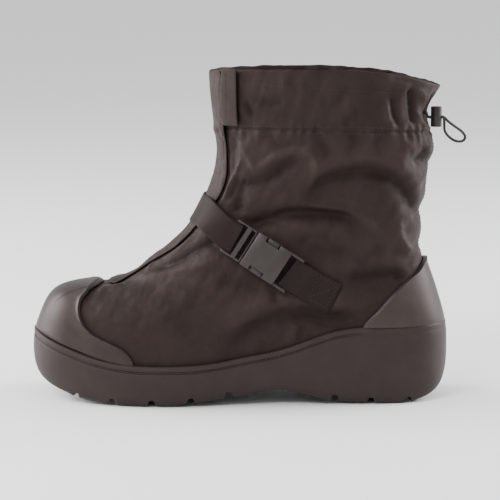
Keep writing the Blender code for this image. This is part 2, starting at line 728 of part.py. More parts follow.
def locate_front(x):
    """Section number whose front point is at station x."""
    low = 2.0
    high = LAST - 8
    for _ in range(40):
        t = (low + high) / 2
        if section(t)["front_x"] > x:
            high = t
        else:
            low = t
    return low


def make_heel_counter(shoe, rubber):
    """The rubber counter round the heel, its front edge a raised lip."""
    side = [locate(x, z, -1) for x, z in COUNTER_EDGE]
    side[0] = (side[0][0], 1.04)
    # Measured from the back seam: the outer side is below zero and the inner side above it.
    outer_side = tuple((-(1 + u), t) for u, t in side)
    low = 1.0
    high = LAST
    for _ in range(40):
        t = (low + high) / 2
        if section(t)["back_z"] > COUNTER_TOP_Z:
            high = t
        else:
            low = t
    corner_u, corner_t = outer_side[-1]
    left = polyline(tuple((1 + u, t) for u, t in outer_side))
    right = polyline(tuple((1 - u, t) for u, t in outer_side))
    middle = (corner_u * 0.5, corner_t + (low - corner_t) * 0.7)
    top = polyline(((1 + corner_u, corner_t), (1 + middle[0], middle[1]), (1.0, low),
                    (1 - middle[0], middle[1]), (1 - corner_u, corner_t)))
    start_u = outer_side[0][0]

    def bottom(s):
        return 1 + start_u * (1 - 2 * s), 1.04

    def offsets(i, j):
        edge = min(i, 1 - i, 1 - j)
        lip = LIP_HEIGHT * 0.7 if 0.015 < edge < 0.04 else 0.0
        foot = COUNTER_FOOT * math.sin(math.pi * i) ** 4 * max(0.0, 1 - j / 0.6) ** 1.6
        return SEAT_GAP + 0.35, SEAT_GAP + COUNTER_THICKNESS - (1.4 if edge < 0.01 else 0.0) + lip + foot

    counter = patch("heel_counter", left, right, bottom, top,
                    spaced(18, (0.02, 0.98)), spaced(6, (0.925, 0.98)), offsets, shoe, True)
    wear(counter, rubber)
    return counter


def make_front_flap(shoe, fabric):
    """The storm flap down the front, from the collar to the toe cap."""
    (low_u, low_t), (high_u, high_t) = FLAP_EDGE[0], FLAP_EDGE[-1]
    (far_low_u, far_low_t), (far_high_u, far_high_t) = FLAP_INNER_EDGE[0], FLAP_INNER_EDGE[-1]

    def bottom(s):
        return low_u + (far_low_u - low_u) * s, low_t + (far_low_t - low_t) * s

    def top(s):
        return high_u + (far_high_u - high_u) * s, high_t + (far_high_t - high_t) * s

    def offsets(i, j):
        return SEAT_GAP + 0.3, SEAT_GAP + 0.3 + FLAP_THICKNESS

    flap = patch("front_flap", polyline(FLAP_EDGE), polyline(FLAP_INNER_EDGE), bottom, top, spaced(9), spaced(20),
                 offsets, shoe)
    wear(flap, fabric)


def make_closure_tab(shoe, fabric):
    """The hook-and-loop tab beside the flap, at the collar."""
    a, b, c, d = TAB_CORNERS

    def line(p, q):
        return lambda s: (p[0] + (q[0] - p[0]) * s, p[1] + (q[1] - p[1]) * s)

    tab = patch("closure_tab", line(a, d), line(b, c), line(a, b), line(d, c), spaced(3), spaced(6),
                lambda i, j: (SEAT_GAP + 0.15, SEAT_GAP + 0.15 + TAB_THICKNESS), shoe)
    wear(tab, fabric)


def make_straps(shoe, webbing):
    """The instep strap from the inner side to the buckle, and the short strap behind the buckle."""
    frame = buckle_frame()
    out = np.array(frame.col[2][:3])
    bed = np.array((frame @ Vector((0.0, 0.0, WEBBING_HEIGHT * MM)))[:]) / MM
    route = tuple(locate(x, z, -1) for x, z in STRAP_OUTER) + STRAP_FRONT
    route += tuple(locate(x, z, 1) for x, z in STRAP_INNER)
    wear(band("instep_strap", route, STRAP_LIFT, 28, (bed, out, 8.5, 34.0), shoe), webbing)
    route = tuple(locate(x, z, -1) for x, z in KEEPER_ROUTE)
    wear(band("strap_keeper", route, KEEPER_LIFT, 13, (bed, out, 9.5, 17.0), shoe), webbing)


def buckle_frame():
    """The buckle's place: its origin at the strap's end on its base, X along, Y across and up, Z outward."""
    a = np.array(form(*locate(*BUCKLE_START, -1)))
    b = np.array(form(*locate(*BUCKLE_END, -1)))
    middle = form_normal(*locate((BUCKLE_START[0] + BUCKLE_END[0]) / 2, (BUCKLE_START[1] + BUCKLE_END[1]) / 2, -1))
    along_axis = (b - a) / np.linalg.norm(b - a)
    out = middle - along_axis * (middle @ along_axis)
    out /= np.linalg.norm(out)
    across = np.cross(out, along_axis)
    highest = 0.0
    for k in range(13):
        for side in (-1.0, 0.0, 1.0):
            p = a + (b - a) * (k / 12) + across * side * BUCKLE_WIDTH / 2
            q = form(*locate(p[0], p[2], -1))
            highest = max(highest, (q - a) @ out)
    origin = a + out * (highest + BUCKLE_CLEAR)
    frame = Matrix.Identity(4)
    for row in range(3):
        frame[row][0] = along_axis[row]
        frame[row][1] = across[row]
        frame[row][2] = out[row]
        frame[row][3] = origin[row] * MM
    return frame


def block(name, low, high, frame, collection, bevel=0.0):
    """A box between two corners in the buckle's frame, with rounded edges."""
    size = [h - l for l, h in zip(low, high)]
    obj = box(name, size, collection)
    obj.data.transform(Matrix.Translation(Vector([(l + h) / 2 * MM for l, h in zip(low, high)])))
    if bevel:
        edge = obj.modifiers.new("round", "BEVEL")
        edge.width = bevel * MM
        edge.segments = 2
        edge.limit_method = "ANGLE"
        apply_modifiers(obj)
    obj.data.transform(frame)
    return obj


def make_buckle(shoe, cutters, plastic):
    """Both halves of the side-release buckle, closed: the ladder with its two arms, and the body."""
    frame = buckle_frame()
    half = BUCKLE_WIDTH / 2
    ladder = block("buckle_ladder", (0.0, -half, 0.9), (LADDER_LENGTH, half, 5.8), frame, shoe, 0.9)
    inside = half - RAIL_WIDTH
    cut(ladder, block("ladder_bed", (-3, -inside, WEBBING_HEIGHT - SEAT_GAP), (9.6, inside, 12), frame, cutters))
    for k, (low, high) in enumerate(((4.2, 9.4), (13.4, 17.0))):
        cut(ladder, block("ladder_slot_%d" % k, (low, 0.2 - inside, -2), (high, inside - 0.2, 12), frame, cutters))
    for side in (-1, 1):
        name = "outer" if side < 0 else "inner"
        arm_low, arm_high = sorted((side * (half - 4.6), side * (half - 2.4)))
        cut(ladder, block("arm_" + name, (LADDER_LENGTH - 1.5, arm_low, 2.6), (38.0, arm_high, 5.4), frame, cutters),
            "UNION")
        tip_low, tip_high = sorted((side * (half - 4.3), side * (half + 0.6)))
        cut(ladder, block("tip_" + name, (28.0, tip_low, 2.4), (38.5, tip_high, 5.6), frame, cutters, 0.6), "UNION")
    body = block("buckle_body", (BODY_START, -half - 0.6, 0.0), (BODY_END, half + 0.6, BUCKLE_HEIGHT), frame, shoe, 1.2)
    cut(body, block("socket", (BODY_START - 2, -half + 1.9, 2.0), (39.5, half - 1.9, 6.0), frame, cutters))
    for side in (-1, 1):
        name = "outer" if side < 0 else "inner"
        low, high = sorted((side * (half - 3.4), side * (half + 3)))
        cut(body, block("window_" + name, (27.0, low, 1.8), (39.5, high, 12), frame, cutters))
        rail_low, rail_high = sorted((side * (half - RAIL_WIDTH), side * (half + 0.5)))
        cut(body, block("rail_" + name, (BODY_END - 2, rail_low, 0.8), (RAIL_END, rail_high, 5.2), frame, cutters),
            "UNION")
    cut(body, block("end_bar", (RAIL_END - 3.4, -half + 0.6, 1.0), (RAIL_END - 0.4, half - 0.6, 2.6), frame, cutters),
        "UNION")
    for obj in (ladder, body):
        apply_modifiers(obj)
        wear(obj, plastic)


def make_cord(shoe, cutters, cord_material, plastic):
    """The elastic cord outside the cuff, and its barrel lock."""
    x, y, z = LOCK_CENTRE
    bpy.ops.mesh.primitive_cylinder_add(vertices=16, radius=LOCK_RADIUS * MM, depth=LOCK_HEIGHT * MM)
    lock = bpy.context.active_object
    lock.name = "cord_lock"
    lock.data.name = "cord_lock"
    lock.data.transform(Matrix.Translation(Vector((x, y, z)) * MM))
    for other in list(lock.users_collection):
        other.objects.unlink(lock)
    shoe.objects.link(lock)
    edge = lock.modifiers.new("round", "BEVEL")
    edge.width = 1.0 * MM
    edge.segments = 2
    edge.limit_method = "ANGLE"
    edge.angle_limit = math.radians(40)
    for k, hole_y in enumerate((y - HOLE_SPREAD, y + HOLE_SPREAD)):
        bpy.ops.mesh.primitive_cylinder_add(vertices=12, radius=(CORD_DIAMETER / 2 + 0.4) * MM, depth=30 * MM)
        hole = bpy.context.active_object
        hole.name = "cord_hole_%d" % k
        hole.data.transform(Matrix.Translation(Vector((x, hole_y, HOLE_HEIGHT)) * MM)
                            @ Matrix.Rotation(math.pi / 2, 4, "Y"))
        for other in list(hole.users_collection):
            other.objects.unlink(hole)
        cutters.objects.link(hole)
        cut(lock, hole)
    apply_modifiers(lock)
    wear(lock, plastic)

    numbers = tuple(range(len(CORD_ROUTE)))
    columns = [tuple(p[k] for p in CORD_ROUTE) for k in range(3)]
    dense = [np.array([cubic(numbers, c, n * (len(CORD_ROUTE) - 1) / 400) for c in columns]) for n in range(401)]
    lengths = [0.0]
    for a, b in zip(dense, dense[1:]):
        lengths.append(lengths[-1] + float(np.linalg.norm(b - a)))
    count = int(lengths[-1] / (CORD_DIAMETER * 1.5))
    curve = bpy.data.curves.new("drawcord", "CURVE")
    curve.dimensions = "3D"
    curve.bevel_depth = CORD_DIAMETER / 2 * MM
    curve.bevel_resolution = 2
    curve.use_fill_caps = True
    spline = curve.splines.new("POLY")
    spline.points.add(count)
    k = 0
    for n in range(count + 1):
        wanted = lengths[-1] * n / count
        while k < len(lengths) - 2 and lengths[k + 1] < wanted:
            k += 1
        share = (wanted - lengths[k]) / max(1e-9, lengths[k + 1] - lengths[k])
        p = dense[k] + (dense[k + 1] - dense[k]) * min(1.0, share)
        spline.points[n].co = (*(float(c) * MM for c in p), 1.0)
    cord = bpy.data.objects.new("drawcord", curve)
    shoe.objects.link(cord)
    curve.materials.append(cord_material)


def run():
    shoe, cutters = start()
    rubber = material("rubber_charcoal", (0.055, 0.045, 0.043), 0.5)
    fabric = material("fabric_charcoal", (0.045, 0.036, 0.034), 0.75)
    board = material("insole_grey", (0.08, 0.075, 0.07), 0.9)
    make_outsole(shoe, cutters, rubber)
    make_insole(shoe, board)
    make_upper(shoe, fabric)
    make_toe_cap(shoe, rubber)
    make_heel_counter(shoe, rubber)
    webbing = material("webbing_black", (0.03, 0.027, 0.026), 0.8)
    plastic = material("plastic_black", (0.06, 0.052, 0.05), 0.4)
    make_front_flap(shoe, fabric)
    make_closure_tab(shoe, fabric)
    make_straps(shoe, webbing)
    make_buckle(shoe, cutters, plastic)
    make_cord(shoe, cutters, webbing, plastic)
    cutters.hide_render = True
    for obj in cutters.objects:
        obj.hide_render = True
        obj.display_type = "WIRE"


run()
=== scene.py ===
"""Winter overshoe, left shoe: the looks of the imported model. -X is the toe, -Y the outer side, +Z up."""

import math
import random

import bpy
import numpy as np
from mathutils import Matrix, Vector
from mathutils.bvhtree import BVHTree


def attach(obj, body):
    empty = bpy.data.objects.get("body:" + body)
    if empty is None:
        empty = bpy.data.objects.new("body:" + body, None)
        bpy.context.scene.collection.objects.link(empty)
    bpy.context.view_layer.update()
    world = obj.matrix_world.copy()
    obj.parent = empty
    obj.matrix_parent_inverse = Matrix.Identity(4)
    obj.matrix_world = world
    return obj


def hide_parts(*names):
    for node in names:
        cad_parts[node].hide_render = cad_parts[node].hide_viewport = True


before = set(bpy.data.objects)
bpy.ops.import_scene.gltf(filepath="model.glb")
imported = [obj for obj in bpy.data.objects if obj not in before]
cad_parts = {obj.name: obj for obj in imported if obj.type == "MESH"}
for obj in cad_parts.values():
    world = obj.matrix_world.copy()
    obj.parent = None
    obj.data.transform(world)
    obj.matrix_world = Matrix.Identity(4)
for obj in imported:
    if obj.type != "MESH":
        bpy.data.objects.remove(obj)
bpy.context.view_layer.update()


# Camera
# It stands on the shoe's outer side, 1.9 m away and a little above the cuff, at the photo's angle.
camera_data = bpy.data.cameras.new("camera")
camera_data.sensor_width = 36.0
camera_data.lens = 171.9
camera_data.clip_start = 0.1
camera_data.clip_end = 50.0
camera = bpy.data.objects.new("camera", camera_data)
camera.location = (0.0083, -1.9, 0.4)
camera.rotation_euler = (math.radians(90 - 8.483), 0.0, 0.0)
bpy.context.scene.collection.objects.link(camera)
bpy.context.scene.camera = camera


# Drawcord
# Round elastic cord, 2.2 mm, in a braided black cover. It leaves the casing at the back of the cuff, goes
# through the lock, hangs in a loop, and comes back through the lock into the casing.
MM = 0.001
CORD_WIDTH = 2.2
CORD_GIRTH = 6.9
STRANDS = 8.0
CORD_ROUTE = ((147.3, -12.0, 229.0), (148.0, -10.0, 229.0), (148.8, -7.0, 227.4), (149.6, -4.8, 225.2),
              (151.2, -3.8, 224.0), (156.8, -3.8, 224.0), (162.6, -3.8, 224.0), (166.0, -4.4, 221.0),
              (171.0, -5.6, 217.2), (176.6, -6.5, 213.2), (179.6, -6.8, 208.9), (177.6, -6.2, 205.4),
              (172.4, -4.8, 205.2), (167.0, -2.8, 208.4), (163.8, -1.2, 213.0), (163.4, -0.4, 218.6),
              (162.6, -0.2, 224.0), (156.8, -0.2, 224.0), (151.2, -0.2, 224.0), (149.6, 1.6, 225.6),
              (148.8, 4.6, 227.6), (148.0, 8.0, 229.0), (147.3, 10.4, 229.0))


def pick(*pieces):
    """Selects these objects alone, the first one active."""
    if bpy.context.mode != "OBJECT":
        bpy.ops.object.mode_set(mode="OBJECT")
    bpy.ops.object.select_all(action="DESELECT")
    for piece in pieces:
        piece.select_set(True)
    bpy.context.view_layer.objects.active = pieces[0]


def add_mesh(name, points, faces, uvs=None):
    """An object from points in millimetres and faces, with a UV for each point if uvs is given."""
    mesh = bpy.data.meshes.new(name)
    mesh.from_pydata([tuple(float(c) * MM for c in p) for p in points], [], faces)
    piece = bpy.data.objects.new(name, mesh)
    bpy.context.scene.collection.objects.link(piece)
    if uvs is not None:
        layer = mesh.uv_layers.new(name="lay")
        for loop in mesh.loops:
            layer.data[loop.index].uv = uvs[loop.vertex_index]
    mesh.shade_smooth()
    return piece


def smooth_line(points, step):
    """Points about step apart on a rounded line that passes through the given ones."""
    p = [np.array(q, float) for q in points]
    p = [2 * p[0] - p[1]] + p + [2 * p[-1] - p[-2]]
    dense = []
    for k in range(1, len(p) - 2):
        for s in np.arange(0, 1, 0.05):
            dense.append(0.5 * (2 * p[k] + (p[k + 1] - p[k - 1]) * s
                                + (2 * p[k - 1] - 5 * p[k] + 4 * p[k + 1] - p[k + 2]) * s * s
                                + (3 * p[k] - p[k - 1] - 3 * p[k + 1] + p[k + 2]) * s ** 3))
    dense.append(p[-2])
    dense = np.array(dense)
    run = np.concatenate([[0], np.cumsum(np.linalg.norm(np.diff(dense, axis=0), axis=1))])
    wanted = np.linspace(0, run[-1], max(2, int(round(run[-1] / step)) + 1))
    return np.stack([np.interp(wanted, run, dense[:, c]) for c in range(3)], axis=1)


def new_material(name, colour, roughness, plain=None):
    """A Principled material; plain holds further values that are the same all over, by socket name."""
    m = bpy.data.materials.new(name)
    m.use_nodes = True
    shader = m.node_tree.nodes["Principled BSDF"]
    shader.inputs["Base Color"].default_value = (*colour, 1.0)
    shader.inputs["Roughness"].default_value = roughness
    for socket, value in (plain or {}).items():
        shader.inputs[socket].default_value = value
    return m


def add_node(m, kind, inputs=None, **settings):
    """A node in a material or group, with settings, and inputs given as values or as other sockets."""
    tree = getattr(m, "node_tree", m)
    node = tree.nodes.new(kind)
    for key, value in settings.items():
        setattr(node, key, value)
    for key, value in (inputs or {}).items():
        if isinstance(value, bpy.types.NodeSocket):
            tree.links.new(value, node.inputs[key])
        else:
            node.inputs[key].default_value = value
    return node


def blend_colour(m, mask, first, second):
    """A colour between two, by a mask."""
    node = add_node(m, "ShaderNodeMix", data_type="RGBA")
    tree = getattr(m, "node_tree", m)
    tree.links.new(mask, node.inputs[0])
    for value, socket in ((first, node.inputs[6]), (second, node.inputs[7])):
        if isinstance(value, bpy.types.NodeSocket):
            tree.links.new(value, socket)
        else:
            socket.default_value = (*value, 1.0)
    return node.outputs[2]


def scaled(m, value, from_low, from_high, to_low, to_high):
    """A value carried from one range to another, clamped."""
    node = add_node(m, "ShaderNodeMapRange", {1: from_low, 2: from_high, 3: to_low, 4: to_high}, clamp=True)
    getattr(m, "node_tree", m).links.new(value, node.inputs[0])
    return node.outputs[0]


def sums(m, operation, a, b=0.0, c=0.0):
    """One step of arithmetic on values."""
    node = add_node(m, "ShaderNodeMath", {0: a, 1: b, 2: c}, operation=operation)
    return node.outputs[0]


def set_shader(m, **links):
    """Links values into the shader: color, roughness, normal."""
    shader = m.node_tree.nodes["Principled BSDF"]
    names = dict(color="Base Color", roughness="Roughness", normal="Normal")
    for key, value in links.items():
        m.node_tree.links.new(value, shader.inputs[names[key]])


def bumps(m, heights):
    """Bump nodes one after another; heights holds (height socket, distance in metres, strength)."""
    normal = None
    for height, distance, strength in heights:
        inputs = {"Height": height, "Distance": distance, "Strength": strength}
        if normal is not None:
            inputs["Normal"] = normal
        normal = add_node(m, "ShaderNodeBump", inputs).outputs[0]
    return normal


def wear_material(piece, m):
    piece.data.materials.clear()
    piece.data.materials.append(m)


def place_of(m):
    return add_node(m, "ShaderNodeTexCoord").outputs["Object"]


def noise(m, where, scale, detail=3.0, rough=0.5, **more):
    inputs = {"Vector": where, "Scale": scale, "Detail": detail, "Roughness": rough}
    return add_node(m, "ShaderNodeTexNoise", inputs, **more).outputs[0]


cord_line = smooth_line(CORD_ROUTE, 0.9)
SIDES = 14
ring_points = []
ring_uvs = []
side = np.array((0.0, 0.0, 1.0))
gone = 0.0
for k, p in enumerate(cord_line):
    ahead = cord_line[min(k + 1, len(cord_line) - 1)] - cord_line[max(k - 1, 0)]
    ahead = ahead / np.linalg.norm(ahead)
    side = side - ahead * (side @ ahead)
    side = side / np.linalg.norm(side)
    other = np.cross(ahead, side)
    if k:
        gone += np.linalg.norm(p - cord_line[k - 1])
    for j in range(SIDES):
        a = 2 * math.pi * j / SIDES
        ring_points.append(p + (side * math.cos(a) + other * math.sin(a)) * CORD_WIDTH / 2)
        ring_uvs.append((j / SIDES, gone / CORD_GIRTH))
cord_faces = [tuple(reversed(range(SIDES)))]
for k in range(len(cord_line) - 1):
    for j in range(SIDES):
        a = k * SIDES + j
        b = k * SIDES + (j + 1) % SIDES
        cord_faces.append((a, b, b + SIDES, a + SIDES))
cord_faces.append(tuple(range((len(cord_line) - 1) * SIDES, len(cord_line) * SIDES)))
drawcord = add_mesh("elastic_cord", ring_points, cord_faces, ring_uvs)

cord_material = new_material("braided_cord", (0.0182, 0.0158, 0.0152), 0.75)
around = add_node(cord_material, "ShaderNodeUVMap", uv_map="lay").outputs[0]
parts = add_node(cord_material, "ShaderNodeSeparateXYZ", {0: around})
strands = []
for join in ("ADD", "SUBTRACT"):
    lean = sums(cord_material, join, sums(cord_material, "MULTIPLY", parts.outputs[0], STRANDS),
                sums(cord_material, "MULTIPLY", parts.outputs[1], STRANDS))
    wave = sums(cord_material, "SINE", sums(cord_material, "MULTIPLY", lean, math.pi))
    strands.append(sums(cord_material, "ABSOLUTE", wave))
braid = sums(cord_material, "MAXIMUM", *strands)
tone = scaled(cord_material, noise(cord_material, place_of(cord_material), 400.0), 0.3, 0.7, 0.0, 1.0)
set_shader(cord_material,
           color=blend_colour(cord_material, tone, (0.0121, 0.0103, 0.0097), (0.0303, 0.0261, 0.0248)),
           normal=bumps(cord_material, [(braid, 0.0004, 0.8)]))
wear_material(drawcord, cord_material)
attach(drawcord, "root")
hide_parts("drawcord")


# Cord lock
# A small barrel lock in dull plastic: a barrel with a round plunger set in its top, both crossed by the cord.
# A spring inside the real one holds the plunger up.
LOCK_AT = (156.8, -2.0, 224.5)
BARREL_RADIUS = 4.4
BARREL_HEIGHT = 16.0
BARREL_LIP = 1.0
WELL_DEPTH = 2.2
PLUNGER_GAP = 0.35
PLUNGER_HEIGHT = 1.9
HOLE_RADIUS = 1.45
HOLES_Y = (-3.8, -0.2)
HOLES_Z = 224.0


def select_faces(piece, wanted):
    """Opens a piece in edit mode with only the faces selected for which wanted(face) holds."""
    pick(piece)
    bpy.ops.object.mode_set(mode="EDIT")
    bpy.ops.mesh.select_mode(type="FACE")
    bpy.ops.mesh.select_all(action="DESELECT")
    bpy.ops.object.mode_set(mode="OBJECT")
    for polygon in piece.data.polygons:
        polygon.select = bool(wanted(polygon))
    bpy.ops.object.mode_set(mode="EDIT")


bpy.ops.object.select_all(action="DESELECT")
bpy.ops.mesh.primitive_cylinder_add(vertices=48, radius=BARREL_RADIUS * MM, depth=BARREL_HEIGHT * MM,
                                    location=[c * MM for c in LOCK_AT])
barrel = bpy.context.active_object
barrel.name = "lock_barrel"
bpy.ops.object.transform_apply(location=True, rotation=True, scale=True)
select_faces(barrel, lambda face: face.normal.z > 0.9)
bpy.ops.mesh.inset(thickness=BARREL_LIP * MM)
bpy.ops.mesh.extrude_region_move(TRANSFORM_OT_translate={"value": (0, 0, -WELL_DEPTH * MM)})
bpy.ops.mesh.inset(thickness=PLUNGER_GAP * MM)
bpy.ops.mesh.extrude_region_move(TRANSFORM_OT_translate={"value": (0, 0, PLUNGER_HEIGHT * MM)})
bpy.ops.object.mode_set(mode="OBJECT")
edge = barrel.modifiers.new("edge", "BEVEL")
edge.width = 0.5 * MM
edge.segments = 3
edge.limit_method = "ANGLE"
pick(barrel)
bpy.ops.object.modifier_apply(modifier="edge")
for hole_y in HOLES_Y:
    bpy.ops.mesh.primitive_cylinder_add(vertices=24, radius=HOLE_RADIUS * MM, depth=30 * MM,
                                        location=(LOCK_AT[0] * MM, hole_y * MM, HOLES_Z * MM),
                                        rotation=(0, math.pi / 2, 0))
    drill = bpy.context.active_object
    pick(barrel)
    hole = barrel.modifiers.new("hole", "BOOLEAN")
    hole.object = drill
    hole.solver = "EXACT"
    bpy.ops.object.modifier_apply(modifier="hole")
    bpy.data.objects.remove(drill)
pick(barrel)
bpy.ops.object.shade_smooth_by_angle(angle=math.radians(35))

lock_material = new_material("dull_plastic", (0.0303, 0.0273, 0.0261), 0.42, {"Specular IOR Level": 0.3})
where = place_of(lock_material)
cloudy = scaled(lock_material, noise(lock_material, where, 260.0), 0.35, 0.75, 0, 1)
set_shader(lock_material,
           color=blend_colour(lock_material, cloudy, (0.0182, 0.0142, 0.0135), (0.0339, 0.0273, 0.0258)),
           roughness=scaled(lock_material, noise(lock_material, where, 900.0), 0.3, 0.7, 0.36, 0.55),
           normal=bumps(lock_material, [(noise(lock_material, where, 2600.0), 0.0001, 0.35)]))
wear_material(barrel, lock_material)
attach(barrel, "root")
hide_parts("cord_lock")


# Outsole
# Moulded rubber cupsole in one piece: tread lugs cut by cross grooves, a soft bead round the rim, and a cup
# that the upper is cemented into.


def finer(piece, levels):
    """Subdivides a piece and shades it smooth."""
    pick(piece)
    smoother = piece.modifiers.new("finer", "SUBSURF")
    smoother.levels = levels
    smoother.render_levels = levels
    bpy.ops.object.modifier_apply(modifier="finer")
    piece.data.shade_smooth()


def cast_of(node, name, levels, sharp=None):
    """A working copy of a CAD solid: its triangles merged and joined to quads, its sharp edges kept, and then
    subdivided."""
    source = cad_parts[node]
    piece = bpy.data.objects.new(name, source.data.copy())
    bpy.context.scene.collection.objects.link(piece)
    pick(piece)
    bpy.ops.object.mode_set(mode="EDIT")
    bpy.ops.mesh.select_all(action="SELECT")
    bpy.ops.mesh.remove_doubles(threshold=0.00002)
    bpy.ops.mesh.tris_convert_to_quads(face_threshold=math.radians(60), shape_threshold=math.radians(60))
    bpy.ops.mesh.select_all(action="DESELECT")
    bpy.ops.mesh.select_mode(type="EDGE")
    if sharp is not None:
        bpy.ops.mesh.edges_select_sharp(sharpness=math.radians(sharp))
        bpy.ops.transform.edge_crease(value=0.9)
    bpy.ops.object.mode_set(mode="OBJECT")
    if levels:
        finer(piece, levels)
    else:
        piece.data.shade_smooth()
    return piece


outsole = cast_of("outsole", "rubber_outsole", 2, sharp=32)


def grain_group():
    """Moulded rubber's fine grain and its soft marks: outputs a height, a dust mask and a scuff mask."""
    group = bpy.data.node_groups.new("rubber_grain", "ShaderNodeTree")
    group.interface.new_socket("Place", in_out="INPUT", socket_type="NodeSocketVector")
    group.interface.new_socket("Grain", in_out="INPUT", socket_type="NodeSocketFloat")
    for name in ("Height", "Dust", "Scuff"):
        group.interface.new_socket(name, in_out="OUTPUT", socket_type="NodeSocketFloat")
    inside = group.nodes.new("NodeGroupInput")
    out = group.nodes.new("NodeGroupOutput")
    fine = noise(group, inside.outputs[0], inside.outputs[1], 2.0)
    broad = noise(group, inside.outputs[0], 90.0, 4.0)
    dust = scaled(group, noise(group, inside.outputs[0], 38.0, 6.0, 0.62), 0.42, 0.72, 0.0, 1.0)
    mapping = {0: inside.outputs[0], "Scale": (1.0, 1.0, 3.5)}
    stretched = add_node(group, "ShaderNodeMapping", mapping).outputs[0]
    scuff = scaled(group, noise(group, stretched, 160.0, 5.0, 0.7), 0.58, 0.74, 0.0, 1.0)
    group.links.new(sums(group, "MULTIPLY_ADD", broad, 0.6, fine), out.inputs[0])
    group.links.new(dust, out.inputs[1])
    group.links.new(scuff, out.inputs[2])
    return group


rubber_grain = grain_group()


GRAIN_SCALE = 1700.0
GRAIN_DEPTH = 0.00012
HATCH_SCALE = 900.0
HATCH_DEPTH = 0.0006


def rubber(name, dark, pale, scuffed, roughness, tread=False):
    """Moulded rubber; with tread, a fine cross-hatch on the faces that look down."""
    plain = {"Specular IOR Level": 0.21, "Specular Tint": (1.0, 0.85, 0.83, 1.0)}
    m = new_material(name, dark, roughness, plain)
    grains = add_node(m, "ShaderNodeGroup", node_tree=rubber_grain)
    m.node_tree.links.new(place_of(m), grains.inputs[0])
    grains.inputs[1].default_value = GRAIN_SCALE
    tint = blend_colour(m, grains.outputs[1], dark, pale)
    worn = blend_colour(m, sums(m, "MULTIPLY", grains.outputs[2], 0.35), tint, scuffed)
    rough = sums(m, "ADD", scaled(m, grains.outputs[1], 0.0, 1.0, roughness - 0.05, roughness + 0.07),
                 sums(m, "MULTIPLY", grains.outputs[2], 0.06))
    heights = [(grains.outputs[0], GRAIN_DEPTH, 0.5)]
    if tread:
        spot = add_node(m, "ShaderNodeSeparateXYZ", {0: place_of(m)})
        ridges = []
        for join in ("ADD", "SUBTRACT"):
            run = sums(m, "MULTIPLY", sums(m, join, spot.outputs[0], spot.outputs[1]), HATCH_SCALE)
            ridges.append(sums(m, "ABSOLUTE", sums(m, "SINE", run)))
        hatch = sums(m, "MULTIPLY", *ridges)
        outward = add_node(m, "ShaderNodeNewGeometry").outputs["Normal"]
        facing = add_node(m, "ShaderNodeSeparateXYZ", {0: outward})
        downward = scaled(m, facing.outputs[2], -0.9, -0.6, 1.0, 0.0)
        heights.append((sums(m, "MULTIPLY", hatch, downward), HATCH_DEPTH, 0.8))
    set_shader(m, color=worn, roughness=rough, normal=bumps(m, heights))
    return m


sole_rubber = rubber("sole_rubber", (0.0188, 0.0135, 0.0126), (0.0248, 0.0185, 0.0174),
                     (0.0424, 0.0333, 0.0315), 0.52, tread=True)
wear_material(outsole, sole_rubber)
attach(outsole, "root")
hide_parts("outsole")


# Insole
# A thin board faced with grey needled felt. It is cut to the inside of the upper and lies loose on the sole's
# floor.
insole = cast_of("insole", "felt_insole", 1, sharp=40)
felt = new_material("insole_felt", (0.0364, 0.0333, 0.0315), 0.95, {"Sheen Weight": 0.4})
where = place_of(felt)
fibres = noise(felt, where, 900.0, 6.0, 0.7)
set_shader(felt, color=blend_colour(felt, scaled(felt, fibres, 0.35, 0.65, 0, 1),
                                    (0.0212, 0.0194, 0.0182), (0.0606, 0.0570, 0.0545)),
           normal=bumps(felt, [(fibres, 0.0004, 0.7)]))
wear_material(insole, felt)
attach(insole, "root")
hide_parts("insole")


# Upper
# Coated nylon over a thin lining, sewn to one shaft and cemented into the sole. It is soft: the creases below
# are where it folds when it stands empty, in the shoe's own millimetres.


def middle_of(z):
    """The middle of the shaft and foot at these heights."""
    return np.interp(z, (0, 90, 140, 262), (0, 20, 56, 66))


def collar_height(x):
    """Height of the collar's rim, which falls towards the back."""
    return np.interp(x, (-22, 161), (262.5, 250.5))


FACING_DEPTH = 14.0


def is_lining(face):
    """Whether a face is inside the shoe and below the facing that backs the collar."""
    at = np.array(face.center) / MM
    outward = at - np.array((middle_of(at[2]), 0.0, at[2]))
    return outward @ np.array(face.normal) < 0 and at[2] < collar_height(at[0]) - FACING_DEPTH


shell = cast_of("upper", "nylon_shell", 2)
select_faces(shell, is_lining)
bpy.ops.mesh.separate(type="SELECTED")
bpy.ops.object.mode_set(mode="OBJECT")
lining = [piece for piece in bpy.context.selected_objects if piece != shell][0]
lining.name = "nylon_lining"
finer(shell, 1)


def surface(piece):
    graph = bpy.context.evaluated_depsgraph_get()
    return BVHTree.FromObject(piece, graph)


bare_upper = surface(shell)


def on_upper(spot, tree=None):
    """The point on the upper, in millimetres, and its outward normal. spot is (side, a, b): the outer or
    inner side by x and z, the back by y and z."""
    side, a, b = spot
    start, way = {"outer": ((a, -200, b), (0, 1, 0)), "inner": ((a, 200, b), (0, -1, 0)),
                  "back": ((260, a, b), (-1, 0, 0))}[side]
    hit, normal, _, _ = (tree or bare_upper).ray_cast(Vector(start) * MM, Vector(way))
    if hit is None:
        hit, normal, _, _ = (tree or bare_upper).find_nearest(Vector(start) * MM)
    if normal.dot(Vector(way)) > 0:
        normal = -normal
    return np.array(hit) / MM, np.array(normal)


